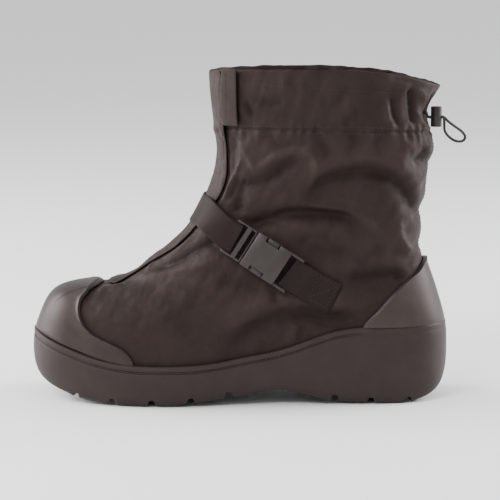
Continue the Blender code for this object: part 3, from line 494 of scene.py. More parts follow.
# Each fold has its side, route, depth (below zero is a ridge), width, and the swell above and below it.
FOLDS = (
    # the deep arch over the ankle, with the shaft hanging over it
    ("outer", ((46, 161), (57, 172), (67, 178), (83, 183), (101, 185), (118, 180), (129, 169), (141, 151)),
     3.8, 6.5, 2.0, 0.0),
    ("outer", ((52, 164), (68, 173), (84, 176), (102, 177), (117, 171)), -1.0, 2.6, 0.0, 0.0),
    # the pouch in front of it
    ("outer", ((8, 181), (17, 188), (31, 197), (46, 202), (57, 198), (61, 189), (59, 181), (52, 171),
               (45, 161)), -2.0, 3.6, 0.0, 0.0),
    ("outer", ((2, 176), (17, 176), (28, 182), (39, 191), (51, 193)), 2.8, 6.0, 0.0, 0.0),
    ("outer", ((45, 161), (53, 158), (71, 156), (87, 152), (99, 147), (108, 137), (109, 131)),
     -2.2, 3.4, 0.0, 0.0),
    ("outer", ((-2, 141), (17, 145), (35, 151), (51, 152), (75, 151), (88, 148), (99, 143)),
     4.6, 5.0, 0.0, 0.6),
    # beside the flap
    ("outer", ((-5, 217), (-4, 194), (-3, 177), (-7, 164), (-12, 156)), 1.5, 3.2, 0.0, 0.0),
    ("outer", ((2, 194), (-3, 182), (-9, 169), (-13, 160)), -2.4, 2.3, 0.0, 0.0),
    ("outer", ((-2, 207), (5, 199), (10, 190), (12, 182)), -2.0, 2.8, 0.0, 0.0),
    ("outer", ((5, 179), (0, 162), (-2, 150)), 3.2, 5.5, 0.0, 0.0),
    # the cuff
    ("outer", ((140, 258), (142, 245), (145, 236)), -2.6, 2.5, 0.0, 0.0),
    ("outer", ((140, 231), (142, 224), (147, 216)), -2.2, 2.8, 0.0, 0.0),
    ("outer", ((133, 250), (135, 238), (137, 219)), 3.8, 3.0, 0.0, 0.6),
    ("outer", ((119, 243), (121, 229), (125, 220)), 2.6, 3.0, 0.8, 0.8),
    ("outer", ((114, 240), (116, 224)), -1.4, 3.2, 0.0, 0.0),
    ("outer", ((3, 239), (9, 226)), 2.4, 3.2, 0.0, 0.6),
    ("outer", ((14, 238), (24, 237), (36, 238)), 1.5, 4.0, 0.8, 0.0),
    ("outer", ((33, 261), (35, 249), (33, 240)), -1.2, 3.2, 0.0, 0.0),
    ("outer", ((46, 258), (49, 245), (44, 234)), -1.3, 3.2, 0.0, 0.0),
    ("outer", ((80, 223), (94, 234)), 1.4, 4.0, 0.6, 0.0),
    ("outer", ((62, 236), (76, 240), (88, 252)), 1.0, 5.0, 0.5, 0.5),
    # below the cuff
    ("outer", ((147, 208), (140, 203), (133, 197)), -1.6, 3.2, 0.0, 0.0),
    ("outer", ((148, 202), (136, 189)), 2.0, 4.0, 0.0, 0.0),
    ("outer", ((136, 210), (129, 194), (127, 178)), -1.6, 7.0, 0.0, 0.0),
    ("outer", ((22, 218), (30, 206), (46, 208)), 1.2, 4.0, 0.0, 0.5),
    ("outer", ((62, 218), (64, 208), (72, 196)), 1.4, 4.0, 0.5, 0.5),
    ("outer", ((88, 218), (90, 208), (84, 196)), 1.3, 4.0, 0.5, 0.5),
    ("outer", ((112, 216), (108, 206), (112, 196)), 1.3, 4.0, 0.5, 0.5),
    # behind and below the buckle
    ("outer", ((126, 146), (128, 131), (137, 117)), -2.0, 4.5, 0.0, 0.0),
    ("outer", ((82, 100), (98, 103), (118, 103), (135, 98)), 3.0, 5.0, 1.2, 0.0),
    ("outer", ((28, 93), (28, 80)), 2.0, 3.2, 0.0, 0.0),
    ("outer", ((-18, 100), (0, 96), (18, 90)), 1.1, 5.5, 0.0, 0.0),
    ("outer", ((112, 128), (104, 118), (90, 112)), 1.2, 5.5, 0.6, 0.0),
    ("outer", ((44, 128), (60, 134), (74, 134)), 1.4, 4.5, 0.6, 0.0),
    ("outer", ((50, 122), (70, 124), (88, 120)), 1.2, 4.5, 0.6, 0.0),
    # above the sole
    ("outer", ((-14, 46), (0, 55), (17, 66), (35, 73), (55, 73), (79, 70), (101, 71)), 3.2, 6.0, 1.6, 0.0),
    ("outer", ((50, 66), (48, 58), (46, 50)), 1.9, 2.8, 0.0, 0.0),
    ("outer", ((46, 67), (42, 57), (36, 48)), -1.6, 3.2, 0.0, 0.0),
    ("outer", ((20, 52), (14, 40)), 1.8, 3.4, 0.0, 0.0),
    ("outer", ((60, 66), (72, 62), (86, 64)), 1.4, 3.0, 0.0, 0.0),
    # along the flap's foot
    ("outer", ((-90, 95), (-71, 99), (-43, 106), (-24, 112), (-9, 118)), -2.2, 5.0, 0.0, 0.0),
    ("outer", ((-71, 103), (-51, 112), (-35, 121), (-22, 128), (-12, 126)), 3.4, 4.8, 0.0, 0.0),
    ("outer", ((-90, 99), (-71, 107), (-55, 117), (-39, 129), (-29, 136)), -2.0, 2.5, 0.0, 0.0),
    ("outer", ((-116, 87), (-104, 89), (-92, 92)), -1.4, 4.0, 0.0, 0.0),
    ("outer", ((-60, 72), (-46, 64), (-40, 52)), 0.9, 8.0, 0.0, 0.0),
    # the inner side, which the photo doesn't show, folds in the same way
    ("inner", ((36, 160), (50, 172), (68, 181), (90, 184), (112, 180), (134, 160)), 3.2, 6.5, 1.6, 0.0),
    ("inner", ((-6, 146), (18, 150), (44, 152), (74, 149), (98, 142)), 3.8, 5.5, 0.0, 0.6),
    ("inner", ((8, 184), (24, 194), (42, 196), (52, 184), (44, 170)), -1.7, 3.8, 0.0, 0.0),
    ("inner", ((40, 162), (66, 158), (92, 152)), -1.8, 3.6, 0.0, 0.0),
    ("inner", ((84, 102), (104, 104), (128, 98)), 2.6, 5.5, 1.0, 0.0),
    ("inner", ((-10, 52), (12, 64), (40, 72), (72, 70), (98, 72)), 2.8, 6.5, 1.4, 0.0),
    ("inner", ((-84, 92), (-56, 100), (-26, 106), (-4, 112)), 2.2, 6.0, 0.8, 0.0),
    ("inner", ((48, 66), (44, 50)), 1.6, 3.4, 0.0, 0.0),
    ("inner", ((20, 218), (24, 206), (18, 194)), 1.5, 4.2, 0.5, 0.5),
    ("inner", ((56, 218), (52, 206), (60, 196)), 1.4, 4.2, 0.5, 0.5),
    ("inner", ((90, 218), (94, 206), (88, 194)), 1.4, 4.2, 0.5, 0.5),
    ("inner", ((30, 256), (34, 240), (28, 226)), 1.1, 4.0, 0.5, 0.5),
    ("inner", ((84, 254), (80, 240), (88, 226)), 1.2, 4.0, 0.5, 0.5),
    ("inner", ((124, 246), (128, 232), (122, 220)), 1.8, 3.6, 0.6, 0.6),
    # the back, gathered under the drawcord
    ("back", ((-15, 246), (-12, 232), (-16, 216)), 2.2, 3.2, 0.8, 0.8),
    ("back", ((-5, 244), (-4, 236)), 1.4, 3.0, 0.6, 0.6),
    ("back", ((14, 246), (11, 232), (15, 216)), 2.2, 3.2, 0.8, 0.8),
    ("back", ((25, 244), (22, 228), (26, 214)), 1.6, 3.4, 0.6, 0.6),
    ("back", ((-30, 196), (-12, 188), (8, 192), (26, 200)), 2.2, 5.5, 1.0, 0.0),
    ("back", ((-34, 160), (-10, 150), (14, 152), (34, 164)), 2.4, 6.5, 1.0, 0.0),
    ("back", ((-20, 126), (4, 122), (24, 128)), 1.8, 5.5, 0.8, 0.0),
)


def near_to(piece, co, reach):
    """0 on a piece's surface and 1 from reach millimetres away, for each point."""
    tree = surface(piece)
    away = np.full(len(co), 1.0)
    low = np.array([min(v.co[k] for v in piece.data.vertices) for k in range(3)]) / MM - reach
    high = np.array([max(v.co[k] for v in piece.data.vertices) for k in range(3)]) / MM + reach
    for n in np.flatnonzero(((co > low) & (co < high)).all(axis=1)):
        hit = tree.find_nearest(Vector(co[n]) * MM, reach * MM)
        if hit[3] is not None:
            away[n] = min(1.0, hit[3] / MM / reach)
    return away


def soft_step(k):
    k = np.clip(k, 0.0, 1.0)
    return k * k * (3 - 2 * k)


def fold_field(co, way):
    """How far each point moves outward by the folds. Each fades at both ends of its route."""
    move = np.zeros(len(co))
    for side, route, depth, width, above, below in FOLDS:
        line = []
        facing = []
        for a, b in route:
            p, n = on_upper((side, a, b))
            line.append(p)
            facing.append(n)
        line = smooth_line(line, 2.0)
        facing = np.array(facing).mean(axis=0)
        room = np.ptp(line, axis=0) / 2 + 5 * width
        centre = (line.max(axis=0) + line.min(axis=0)) / 2
        near = np.flatnonzero((np.abs(co - centre) < room).all(axis=1) & ((way @ facing) > -0.1))
        best = np.full(len(near), 1e9)
        share = np.zeros(len(near))
        lift = np.zeros(len(near))
        for k, p in enumerate(line):
            r = co[near] - p
            d = np.linalg.norm(r, axis=1)
            closer = d < best
            best[closer] = d[closer]
            share[closer] = k / (len(line) - 1)
            ahead = line[min(k + 1, len(line) - 1)] - line[max(k - 1, 0)]
            up = np.cross(ahead, facing)
            up = up / np.linalg.norm(up)
            lift[closer] = (r[closer] @ (up if up[2] > 0 or abs(up[2]) < 0.2 else -up))
        ends = soft_step(np.minimum(share, 1 - share) * 5.0 * min(1.0, len(line) / 20 + 0.35)) * 0.92 + 0.08
        d = best / width
        trough = np.exp(-np.abs(d) ** 1.6)
        swell = np.exp(-((d - 2.0) / 1.3) ** 2)
        move[near] += ends * (swell * np.where(lift > 0, above, below) - depth * trough)
    return move


WAVES = 9


def crumple(co, seed, cell, amount):
    """Gentle uneven swelling, from a few sine waves set at random angles."""
    chance = random.Random(seed)
    total = np.zeros(len(co))
    for _ in range(WAVES):
        way = np.array([chance.uniform(-1, 1) for _ in range(3)])
        way /= np.linalg.norm(way)
        length = cell * chance.uniform(0.7, 1.8)
        total += np.sin((co @ way) / length * 2 * math.pi + chance.uniform(0, 6.28))
    return total / WAVES * amount


CASING_FRONT = -18.2
CASING_RUN = 169.6
CASING_SEAM = 218


def casing_height(x):
    """Height of the casing's lower seam, which rises a little in the middle and ends lower at the back."""
    s = np.clip((x - CASING_FRONT) / CASING_RUN, 0.0, 1.0)
    return CASING_SEAM - 4 * s + 3 * np.sin(np.pi * s ** 1.4)


def points_of(piece):
    """The piece's points in millimetres, and the way each goes when the upper moves outward there."""
    count = len(piece.data.vertices)
    co = np.empty(count * 3)
    no = np.empty(count * 3)
    piece.data.vertices.foreach_get("co", co)
    piece.data.vertex_normals.foreach_get("vector", no)
    co = co.reshape(-1, 3) / MM
    no = no.reshape(-1, 3)
    outward = co - np.stack([middle_of(co[:, 2]), np.zeros(count), co[:, 2]], axis=1)
    return co, no * np.where((outward * no).sum(axis=1) < 0, -1.0, 1.0)[:, None]


OUTER_RISE = 3.6
INNER_RISE = 0.6


def lean_cuff(co):
    """The empty cuff stands higher on the outer side than on the inner side."""
    side = np.clip(-co[:, 1] / 40, -1, 1)
    rise = np.where(side > 0, OUTER_RISE, INNER_RISE) * np.abs(side)
    along = np.exp(-np.clip((co[:, 0] - 128) / 22, 0, 9) ** 2)
    co[:, 2] += rise * along * soft_step((co[:, 2] - 222) / 40)


def keep_painted_light(piece, name, values):
    """Stores a value for each point, which the piece's material reads as painted shade or painted highlight.
    """
    layer = piece.data.attributes.new(name, "FLOAT", "POINT")
    layer.data.foreach_set("value", np.asarray(values, np.float32))


STRAP_REACH = {"instep_strap": 7.0, "strap_keeper": 5.0, "buckle_body": 7.0, "buckle_ladder": 7.0}
FLAP_REACH = {"front_flap": 4.0, "closure_tab": 4.0}
RUBBER_REACH = {"toe_cap": 9.0, "heel_counter": 9.0}
CUP_STATIONS = (-158, -124, -75, 8, 50, 95)
CUP_HEIGHTS = (56, 40, 33, 41, 51, 63)
# fold depths, in millimetres, at which the painted shade in troughs and the painted highlight on ridges are
# full
FOLD_SHADE_FULL_DEPTH = 2.5
CREST_HIGHLIGHT_FULL_HEIGHT = 2.2
# each has its seed, the size of its swellings and how far they rise
CRUMPLES = ((4, 46.0, 2.0), (9, 15.0, 1.2), (14, 8.0, 0.5))
CASING_GATHER = 0.6
SEAM_DEPTH = 1.1
HELD_DOWN = -0.4


def clear_of(reaches, co):
    """0 on the CAD solids named and 1 from each one's reach away."""
    away = np.ones(len(co))
    for node, reach in reaches.items():
        away *= near_to(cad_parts[node], co, reach)
    return away


def soften(piece):
    """Folds a skin of the upper. What is under the cap, counter, straps, flap and buckle stays down."""
    co, way = points_of(piece)
    move = fold_field(co, way)
    # how deep each point lies in a fold, kept for the painted shade in troughs and the painted highlight on
    # ridges
    keep_painted_light(piece, "painted_fold_shade", np.clip(-move / FOLD_SHADE_FULL_DEPTH, 0, 1))
    keep_painted_light(piece, "painted_crest_highlight", np.clip(move / CREST_HIGHLIGHT_FULL_HEIGHT, 0, 1))
    soft = soft_step((co[:, 2] - 60) / 22)
    move += sum(crumple(co, *each) for each in CRUMPLES) * soft
    below = co[:, 2] - (casing_height(co[:, 0]) - 1.0)
    gather = np.sin(co[:, 0] * 0.62 + 2.2 * np.sin(co[:, 0] * 0.13))
    gather = gather * np.cos(co[:, 1] * 0.4 + co[:, 0] * 0.05)
    back = soft_step((co[:, 0] - 96) / 40)
    move += (CASING_GATHER + CASING_GATHER * back) * gather * np.exp(-(below / 7.0) ** 2)
    move -= SEAM_DEPTH * np.exp(-(below / 1.5) ** 2)
    above_cup = co[:, 2] - np.interp(co[:, 0], CUP_STATIONS, CUP_HEIGHTS)
    held = clear_of(RUBBER_REACH, co) * soft_step(above_cup / 12)
    down = np.minimum(move, HELD_DOWN)
    move = down + (move - down) * np.minimum(clear_of(STRAP_REACH, co), clear_of(FLAP_REACH, co))
    move *= soft_step(held)
    co = co + way * move[:, None]
    lean_cuff(co)
    put_points(piece, co)


def put_points(piece, co):
    piece.data.vertices.foreach_set("co", (co * MM).ravel())
    piece.data.update()


soften(shell)
soften(lining)
folded_upper = surface(shell)


def weave_group():
    """Plain weave: outputs the height of the threads, over and under in turn."""
    group = bpy.data.node_groups.new("plain_weave", "ShaderNodeTree")
    group.interface.new_socket("Place", in_out="INPUT", socket_type="NodeSocketVector")
    group.interface.new_socket("Threads", in_out="INPUT", socket_type="NodeSocketFloat")
    group.interface.new_socket("Height", in_out="OUTPUT", socket_type="NodeSocketFloat")
    inside = group.nodes.new("NodeGroupInput")
    out = group.nodes.new("NodeGroupOutput")
    parts = add_node(group, "ShaderNodeSeparateXYZ", {0: inside.outputs[0]})
    u = sums(group, "MULTIPLY", parts.outputs[0], inside.outputs[1])
    v = sums(group, "MULTIPLY", parts.outputs[1], inside.outputs[1])
    odd = sums(group, "MODULO", sums(group, "ADD", sums(group, "FLOOR", u), sums(group, "FLOOR", v)), 2.0)
    odd = sums(group, "ABSOLUTE", odd)
    warp = sums(group, "ABSOLUTE", sums(group, "SINE", sums(group, "MULTIPLY", u, math.pi)))
    weft = sums(group, "ABSOLUTE", sums(group, "SINE", sums(group, "MULTIPLY", v, math.pi)))
    over = sums(group, "MULTIPLY", warp, odd)
    under = sums(group, "MULTIPLY", weft, sums(group, "SUBTRACT", 1.0, odd))
    group.links.new(sums(group, "ADD", over, under), out.inputs[0])
    return group


plain_weave = weave_group()


def lay_flat(piece):
    """A UV map in metres on a piece of the upper: round the shoe and up it."""
    mesh = piece.data
    layer = mesh.uv_layers.new(name="lay")
    for polygon in mesh.polygons:
        n = polygon.normal
        for loop in polygon.loop_indices:
            p = mesh.vertices[mesh.loops[loop].vertex_index].co
            if abs(n.y) > 0.5:
                layer.data[loop].uv = (p.x, p.z)
            elif abs(n.x) > abs(n.z):
                layer.data[loop].uv = (p.y, p.z)
            else:
                layer.data[loop].uv = (p.x, p.y)


def cloth(name, dark, pale, roughness, threads=1900.0, crinkle=0.55, plain=None):
    """Coated nylon: a fine weave under a coating that creases. Its colour is painted darker in fold troughs
    (painted shade) and lighter on fold ridges (painted highlight), from the fold values stored on the piece.
    """
    m = new_material(name, dark, roughness, plain)
    where = place_of(m)
    weave = add_node(m, "ShaderNodeGroup", node_tree=plain_weave)
    m.node_tree.links.new(add_node(m, "ShaderNodeUVMap", uv_map="lay").outputs[0], weave.inputs[0])
    weave.inputs[1].default_value = threads
    broad = noise(m, where, 26.0, 5.0, 0.6)
    warped = add_node(m, "ShaderNodeVectorMath", {0: where}, operation="ADD")
    shift = add_node(m, "ShaderNodeTexNoise", {"Vector": where, "Scale": 30.0, "Detail": 2.0})
    small = add_node(m, "ShaderNodeVectorMath", {0: shift.outputs[1], 3: 0.016}, operation="SCALE")
    m.node_tree.links.new(small.outputs[0], warped.inputs[1])
    crease = noise(m, warped.outputs[0], 62.0, 3.0, 0.45, noise_type="RIDGED_MULTIFRACTAL")
    fine = noise(m, warped.outputs[0], 170.0, 3.0, 0.5)
    tint = blend_colour(m, scaled(m, broad, 0.35, 0.66, 0.0, 1.0), dark, pale)
    # painted shade in fold troughs and painted highlight on fold ridges, read from the fold values stored on
    # the upper
    deep = add_node(m, "ShaderNodeAttribute", attribute_name="painted_fold_shade").outputs["Fac"]
    high = add_node(m, "ShaderNodeAttribute", attribute_name="painted_crest_highlight").outputs["Fac"]
    tint = blend_colour(m, sums(m, "MULTIPLY", high, 0.5), tint, tuple(c * 1.7 for c in pale))
    tint = blend_colour(m, sums(m, "MULTIPLY", deep, 0.62), tint, tuple(c * 0.25 for c in dark))
    set_shader(m, color=tint, roughness=scaled(m, fine, 0.3, 0.7, roughness - 0.06, roughness + 0.08),
               normal=bumps(m, [(weave.outputs[0], 0.00009, 0.35), (crease, 0.0016, crinkle * 0.9),
                                (fine, 0.0008, crinkle * 1.2)]))
    return m


lay_flat(shell)
WARM = (1.0, 0.78, 0.74, 1.0)
shell_cloth = cloth("coated_nylon", (0.0136, 0.0091, 0.0084), (0.0194, 0.0131, 0.0122), 0.56,
                    plain={"Specular IOR Level": 0.15, "Specular Tint": WARM})
wear_material(shell, shell_cloth)
lay_flat(lining)
lining_cloth = cloth("plain_lining", (0.0109, 0.0091, 0.0085), (0.0158, 0.0133, 0.0121), 0.7,
                     threads=1300.0, crinkle=0.3)
wear_material(lining, lining_cloth)
for piece in (shell, lining):
    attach(piece, "root")
    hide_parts("upper")


# Stitching
# Thick dull thread, about three stitches to the centimetre: two rows at the casing's seam, one at the
# collar's hem, and two down the back. The flap, the tab and the short strap have their own rows below.
STITCH_LENGTH = 2.1
STITCH_PITCH = 3.0
THREAD_WIDTH = 0.5
STITCH_STANDS = 0.08
SHAFT_MIDDLE = (66.0, 0.0)
thread = new_material("sewing_thread", (0.0242, 0.0173, 0.0161), 0.7, {"Specular IOR Level": 0.3})
strands = noise(thread, place_of(thread), 2400.0, 2.0)
set_shader(thread, color=blend_colour(thread, strands, (0.0182, 0.0127, 0.0118), (0.0352, 0.0261, 0.0242)),
           normal=bumps(thread, [(strands, 0.0001, 0.5)]))
bpy.ops.object.select_all(action="DESELECT")
bpy.ops.mesh.primitive_uv_sphere_add(segments=6, ring_count=5, radius=0.5)
one_stitch = bpy.context.active_object
one_stitch.name = "one_stitch"
for polygon in one_stitch.data.polygons:
    polygon.use_smooth = True


def sew(name, rows):
    """Lays copies of the one stitch along rows of (point, normal) in millimetres, as one piece."""
    seam = bpy.data.objects.new(name, bpy.data.meshes.new(name))
    bpy.context.scene.collection.objects.link(seam)
    copies = []
    for row in rows:
        line = np.array([p for p, _ in row])
        facing = np.array([n for _, n in row])
        run = np.concatenate([[0], np.cumsum(np.linalg.norm(np.diff(line, axis=0), axis=1))])
        for at in np.arange(STITCH_PITCH / 2, run[-1] - STITCH_PITCH / 2, STITCH_PITCH):
            spot = np.array([np.interp(at, run, line[:, k]) for k in range(3)])
            ahead = np.array([np.interp(at + 1, run, line[:, k]) for k in range(3)])
            ahead -= np.array([np.interp(at - 1, run, line[:, k]) for k in range(3)])
            up = np.array([np.interp(at, run, facing[:, k]) for k in range(3)])
            ahead /= np.linalg.norm(ahead)
            across = np.cross(up, ahead)
            across /= np.linalg.norm(across)
            up = np.cross(ahead, across)
            copy = one_stitch.copy()
            bpy.context.scene.collection.objects.link(copy)
            lie = np.eye(4)
            lie[:3, 0] = ahead * STITCH_LENGTH * MM
            lie[:3, 1] = across * THREAD_WIDTH * MM
            lie[:3, 2] = up * THREAD_WIDTH * MM
            lie[:3, 3] = (spot + up * STITCH_STANDS) * MM
            copy.matrix_world = Matrix(lie.tolist())
            copies.append(copy)
    bpy.context.view_layer.update()
    for copy in copies:
        copy.data = copy.data.copy()
    pick(seam, *copies)
    bpy.ops.object.join()
    wear_material(seam, thread)
    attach(seam, "root")
    return seam


def round_shaft(height, first, last, tree):
    """A row round the shaft, from one bearing to another in degrees (180 is the front), at height(x)."""
    row = []
    for bearing in np.arange(first, last, 1.5):
        out = Vector((math.cos(math.radians(bearing)), math.sin(math.radians(bearing)), 0.0))
        x = SHAFT_MIDDLE[0] + 80 * out.x
        for _ in range(3):
            start = Vector((SHAFT_MIDDLE[0], SHAFT_MIDDLE[1], height(x))) * MM + out * 0.2
            hit, normal, _, _ = tree.ray_cast(start, -out)
            if hit is None:
                break
            x = hit.x / MM
        if hit is not None:
            row.append((np.array(hit) / MM, np.array(normal if normal.dot(out) > 0 else -normal)))
    return row


HEM_DROP = 6.5
shaft_rows = [round_shaft(lambda x: casing_height(x) + 2.0, -150, 150, folded_upper),
              round_shaft(lambda x: casing_height(x) - 3.4, -150, 150, folded_upper),
              round_shaft(lambda x: collar_height(x) - HEM_DROP, -152, 152, folded_upper)]
for y in (-2.2, 2.2):
    shaft_rows.append([on_upper(("back", y, z), folded_upper) for z in np.arange(120, 212, 3.0)])
sew("shaft_stitches", shaft_rows)


# Toe cap
# Thick moulded rubber over the toe, cemented to the nylon and to the sole's rim. Its back edge is a raised
# lip, and a wide band over the top stands a little proud.
BAND_HALF_WIDTH = 15.0
BAND_MIDDLE = -5.0
BAND_HEIGHT = 0.8
CAP_SINKS = 1.3
RIM_STATIONS = (-167.5, -160, -150, -138, -124, -108, -75, -32, 8, 36, 50, 75, 95, 167.5)
RIM_HEIGHTS = (55, 51.5, 47.5, 43.5, 39, 35, 32, 33, 40, 44.5, 50, 59, 62, 62)


def cement_down(piece, amount):
    """Lets the lowest edge down onto the sole's rim."""
    co = points_of(piece)[0]
    rim = np.interp(co[:, 0], RIM_STATIONS, RIM_HEIGHTS)
    co[:, 2] -= amount * soft_step((rim + 3.2 - co[:, 2]) / 2.0)
    return co


toe_cap = cast_of("toe_cap", "rubber_toe_cap", 3, sharp=60)
co = cement_down(toe_cap, CAP_SINKS)
outside = points_of(toe_cap)[1]
band = soft_step((BAND_HALF_WIDTH - np.abs(co[:, 1] - BAND_MIDDLE)) / 1.6 + 0.5)
band = band * soft_step((co[:, 2] - 72) / 12) * (outside[:, 2] > 0.2)
co[:, 2] += BAND_HEIGHT * band
put_points(toe_cap, co)
cap_rubber = rubber("cap_rubber", (0.0206, 0.0148, 0.0139), (0.0273, 0.0203, 0.0191),
                    (0.0485, 0.0394, 0.0370), 0.44)
wear_material(toe_cap, cap_rubber)
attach(toe_cap, "root")
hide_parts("toe_cap")


# Heel counter
# The same rubber round the heel, thinner, with its colour made paler to stand for the brighter light on the
# heel: painted light. It is cemented on like the cap, with a lip along its front edge.
COUNTER_SINKS = 1.2
heel_counter = cast_of("heel_counter", "rubber_heel_counter", 3, sharp=60)
put_points(heel_counter, cement_down(heel_counter, COUNTER_SINKS))
# paler colours than the cap's same rubber: painted light standing for the light that falls on the heel
counter_rubber = rubber("counter_rubber", (0.0291, 0.0215, 0.0203), (0.0376, 0.0288, 0.0273),
                        (0.0545, 0.0448, 0.0424), 0.46)
wear_material(heel_counter, counter_rubber)
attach(heel_counter, "root")
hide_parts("heel_counter")


# Storm flap
# A strip of the same nylon, folded double, from the collar to the toe cap. It is sewn down the inner side and
# open on the outer side, where a row of stitches follows its edge.
EDGE_LIFT = 0.5
NOTCH_DEPTH = 0.9
SEAM_MARGIN = 2.4
flap = cast_of("front_flap", "storm_flap", 3)


def outer_edge(co):
    """Station x of the piece's rearmost point on the outer side, by height."""
    levels = np.arange(co[:, 2].min() + 1, co[:, 2].max(), 3.0)
    edge = []
    for z in levels:
        near = (np.abs(co[:, 2] - z) < 2.5) & (co[:, 1] < 0)
        edge.append(co[near, 0].max() if near.any() else (edge[-1] if edge else 0.0))
    return levels, np.array(edge)


co, way = points_of(flap)
levels, edge = outer_edge(co)
toward = np.clip(1 - (np.interp(co[:, 2], levels, edge) - co[:, 0]) / 6.0, 0, 1) * (co[:, 1] < -3)
move = EDGE_LIFT * toward ** 2 * soft_step((co[:, 2] - 112) / 30)
move += np.maximum(-0.25, crumple(co, 21, 20.0, 1.3) + crumple(co, 5, 9.0, 0.6))
notch = np.exp(-((co[:, 2] - casing_height(co[:, 0]) + 4.0) / 3.2) ** 2)
move += NOTCH_DEPTH * notch * np.sin(co[:, 1] * 0.5)
co = co + way * move[:, None]
lean_cuff(co)
put_points(flap, co)
lay_flat(flap)
wear_material(flap, shell_cloth)
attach(flap, "root")
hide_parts("front_flap")
flap_tree = surface(flap)
levels, edge = outer_edge(points_of(flap)[0])


def edge_row(tree, levels, stations):
    """A row of spots where rays from the outer side meet a piece, leaving out any that miss it."""
    row = []
    for z, x in zip(levels, stations):
        hit, normal, _, _ = tree.ray_cast(Vector((x, -200.0, z)) * MM, Vector((0, 1, 0)))
        if hit is not None:
            row.append((np.array(hit) / MM, np.array(normal if normal.y < 0 else -normal)))
    return row


sew("flap_stitches", [edge_row(flap_tree, levels[4:-3], edge[4:-3] - SEAM_MARGIN)])


# Closure tab
# A short strip of hook-and-loop at the top of the flap, in a napped fabric. It holds the flap shut at the
# collar, and it is sewn round its edge.
TAB_STANDS = 1.1
TAB_MARGIN = 1.8
tab = cast_of("closure_tab", "hook_and_loop_tab", 3, sharp=50)
co, way = points_of(tab)
co = co + way * (TAB_STANDS + crumple(co, 8, 22.0, 0.5))[:, None]
lean_cuff(co)
put_points(tab, co)
lay_flat(tab)
tab_cloth = cloth("loop_fabric", (0.0206, 0.0144, 0.0135), (0.0303, 0.0221, 0.0209), 0.85, threads=900.0,
                  plain={"Sheen Weight": 0.04, "Specular IOR Level": 0.13, "Specular Tint": WARM})
wear_material(tab, tab_cloth)
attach(tab, "root")
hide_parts("closure_tab")
tab_tree = surface(tab)
near_face = points_of(tab)[0]
near_face = near_face[near_face[:, 1] < np.median(near_face[:, 1]) + 4]
left, right = near_face[:, 0].min() + TAB_MARGIN, near_face[:, 0].max() - TAB_MARGIN
low, high = near_face[:, 2].min() + TAB_MARGIN, near_face[:, 2].max() - TAB_MARGIN
up_row = np.arange(low, high, 2.0)
along_row = np.arange(left, right, 1.5)
sew("tab_stitches", [edge_row(tab_tree, up_row, np.full(len(up_row), right)),
                     edge_row(tab_tree, up_row, np.full(len(up_row), left + 2.0)),
                     edge_row(tab_tree, np.full(len(along_row), low), along_row)])


# Straps
# Black polypropylene webbing, 25 mm wide and 1.6 mm thick: the instep strap from the inner side over the
# front to the buckle, and the short strap sewn to the outer side.
WEBBING_THREADS = 900.0
webbing = new_material("black_webbing", (0.0121, 0.0085, 0.0079), 0.66,
                       {"Specular IOR Level": 0.14, "Specular Tint": WARM})
cords = add_node(webbing, "ShaderNodeGroup", node_tree=plain_weave)
webbing.node_tree.links.new(add_node(webbing, "ShaderNodeUVMap", uv_map="run").outputs[0], cords.inputs[0])
cords.inputs[1].default_value = WEBBING_THREADS
shade = scaled(webbing, noise(webbing, place_of(webbing), 55.0, 4.0), 0.35, 0.7, 0.0, 1.0)
cord_tint = blend_colour(webbing, cords.outputs[0], (0.0085, 0.0059, 0.0053), (0.0127, 0.0091, 0.0084))
rubbed = sums(webbing, "MULTIPLY", shade, 0.4)
set_shader(webbing, color=blend_colour(webbing, rubbed, cord_tint, (0.0182, 0.0133, 0.0122)),
           normal=bumps(webbing, [(cords.outputs[0], 0.00022, 0.5)]))


def run_quads(piece):
    """A UV map in metres that follows the strap's own rows of quads along and across it."""
    mesh = piece.data
    layer = mesh.uv_layers.new(name="run")
    middle = max(mesh.polygons, key=lambda f: f.area if len(f.vertices) == 4 else 0)
    mesh.polygons.active = middle.index
    corner = [mesh.vertices[v].co for v in middle.vertices]
    wide = (corner[1] - corner[0]).length
    high = (corner[2] - corner[1]).length
    for loop, uv in zip(middle.loop_indices, ((0, 0), (wide, 0), (wide, high), (0, high))):
        layer.data[loop].uv = uv
    pick(piece)
    bpy.ops.object.mode_set(mode="EDIT")
    bpy.ops.mesh.select_all(action="SELECT")
    bpy.ops.uv.select_all(action="SELECT")
    bpy.ops.uv.follow_active_quads(mode="LENGTH_AVERAGE")
    bpy.ops.object.mode_set(mode="OBJECT")


instep = cast_of("instep_strap", "instep_webbing", 2, sharp=50)
keeper = cast_of("strap_keeper", "short_webbing", 2, sharp=50)
for piece, node in ((instep, "instep_strap"), (keeper, "strap_keeper")):
    run_quads(piece)
    wear_material(piece, webbing)
    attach(piece, "root")
    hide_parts(node)


# the box of stitches that holds the short strap's tail
BOX_LENGTH = 17.0
BOX_WIDTH = 19.0
TAIL_MARGIN = 3.0
tail = points_of(keeper)[0]
middle = tail.mean(axis=0)
_, _, axes = np.linalg.svd(tail - middle, full_matrices=False)
along, across = axes[0], axes[1]
if along[0] < 0:
    along = -along
end = ((tail - middle) @ along).max() - TAIL_MARGIN
keeper_tree = surface(keeper)
corners = [(end, -BOX_WIDTH / 2), (end, BOX_WIDTH / 2), (end - BOX_LENGTH, BOX_WIDTH / 2),
           (end - BOX_LENGTH, -BOX_WIDTH / 2), (end, -BOX_WIDTH / 2), (end - BOX_LENGTH, BOX_WIDTH / 2)]
box_rows = []
for (u0, v0), (u1, v1) in zip(corners, corners[1:]):
    spots = [middle + along * (u0 + (u1 - u0) * k) + across * (v0 + (v1 - v0) * k)
             for k in np.linspace(0, 1, 12)]
    row = edge_row(keeper_tree, [spot[2] for spot in spots], [spot[0] for spot in spots])
    if len(row) > 3:
        box_rows.append(row)
sew("strap_stitches", box_rows)
bpy.data.objects.remove(one_stitch)


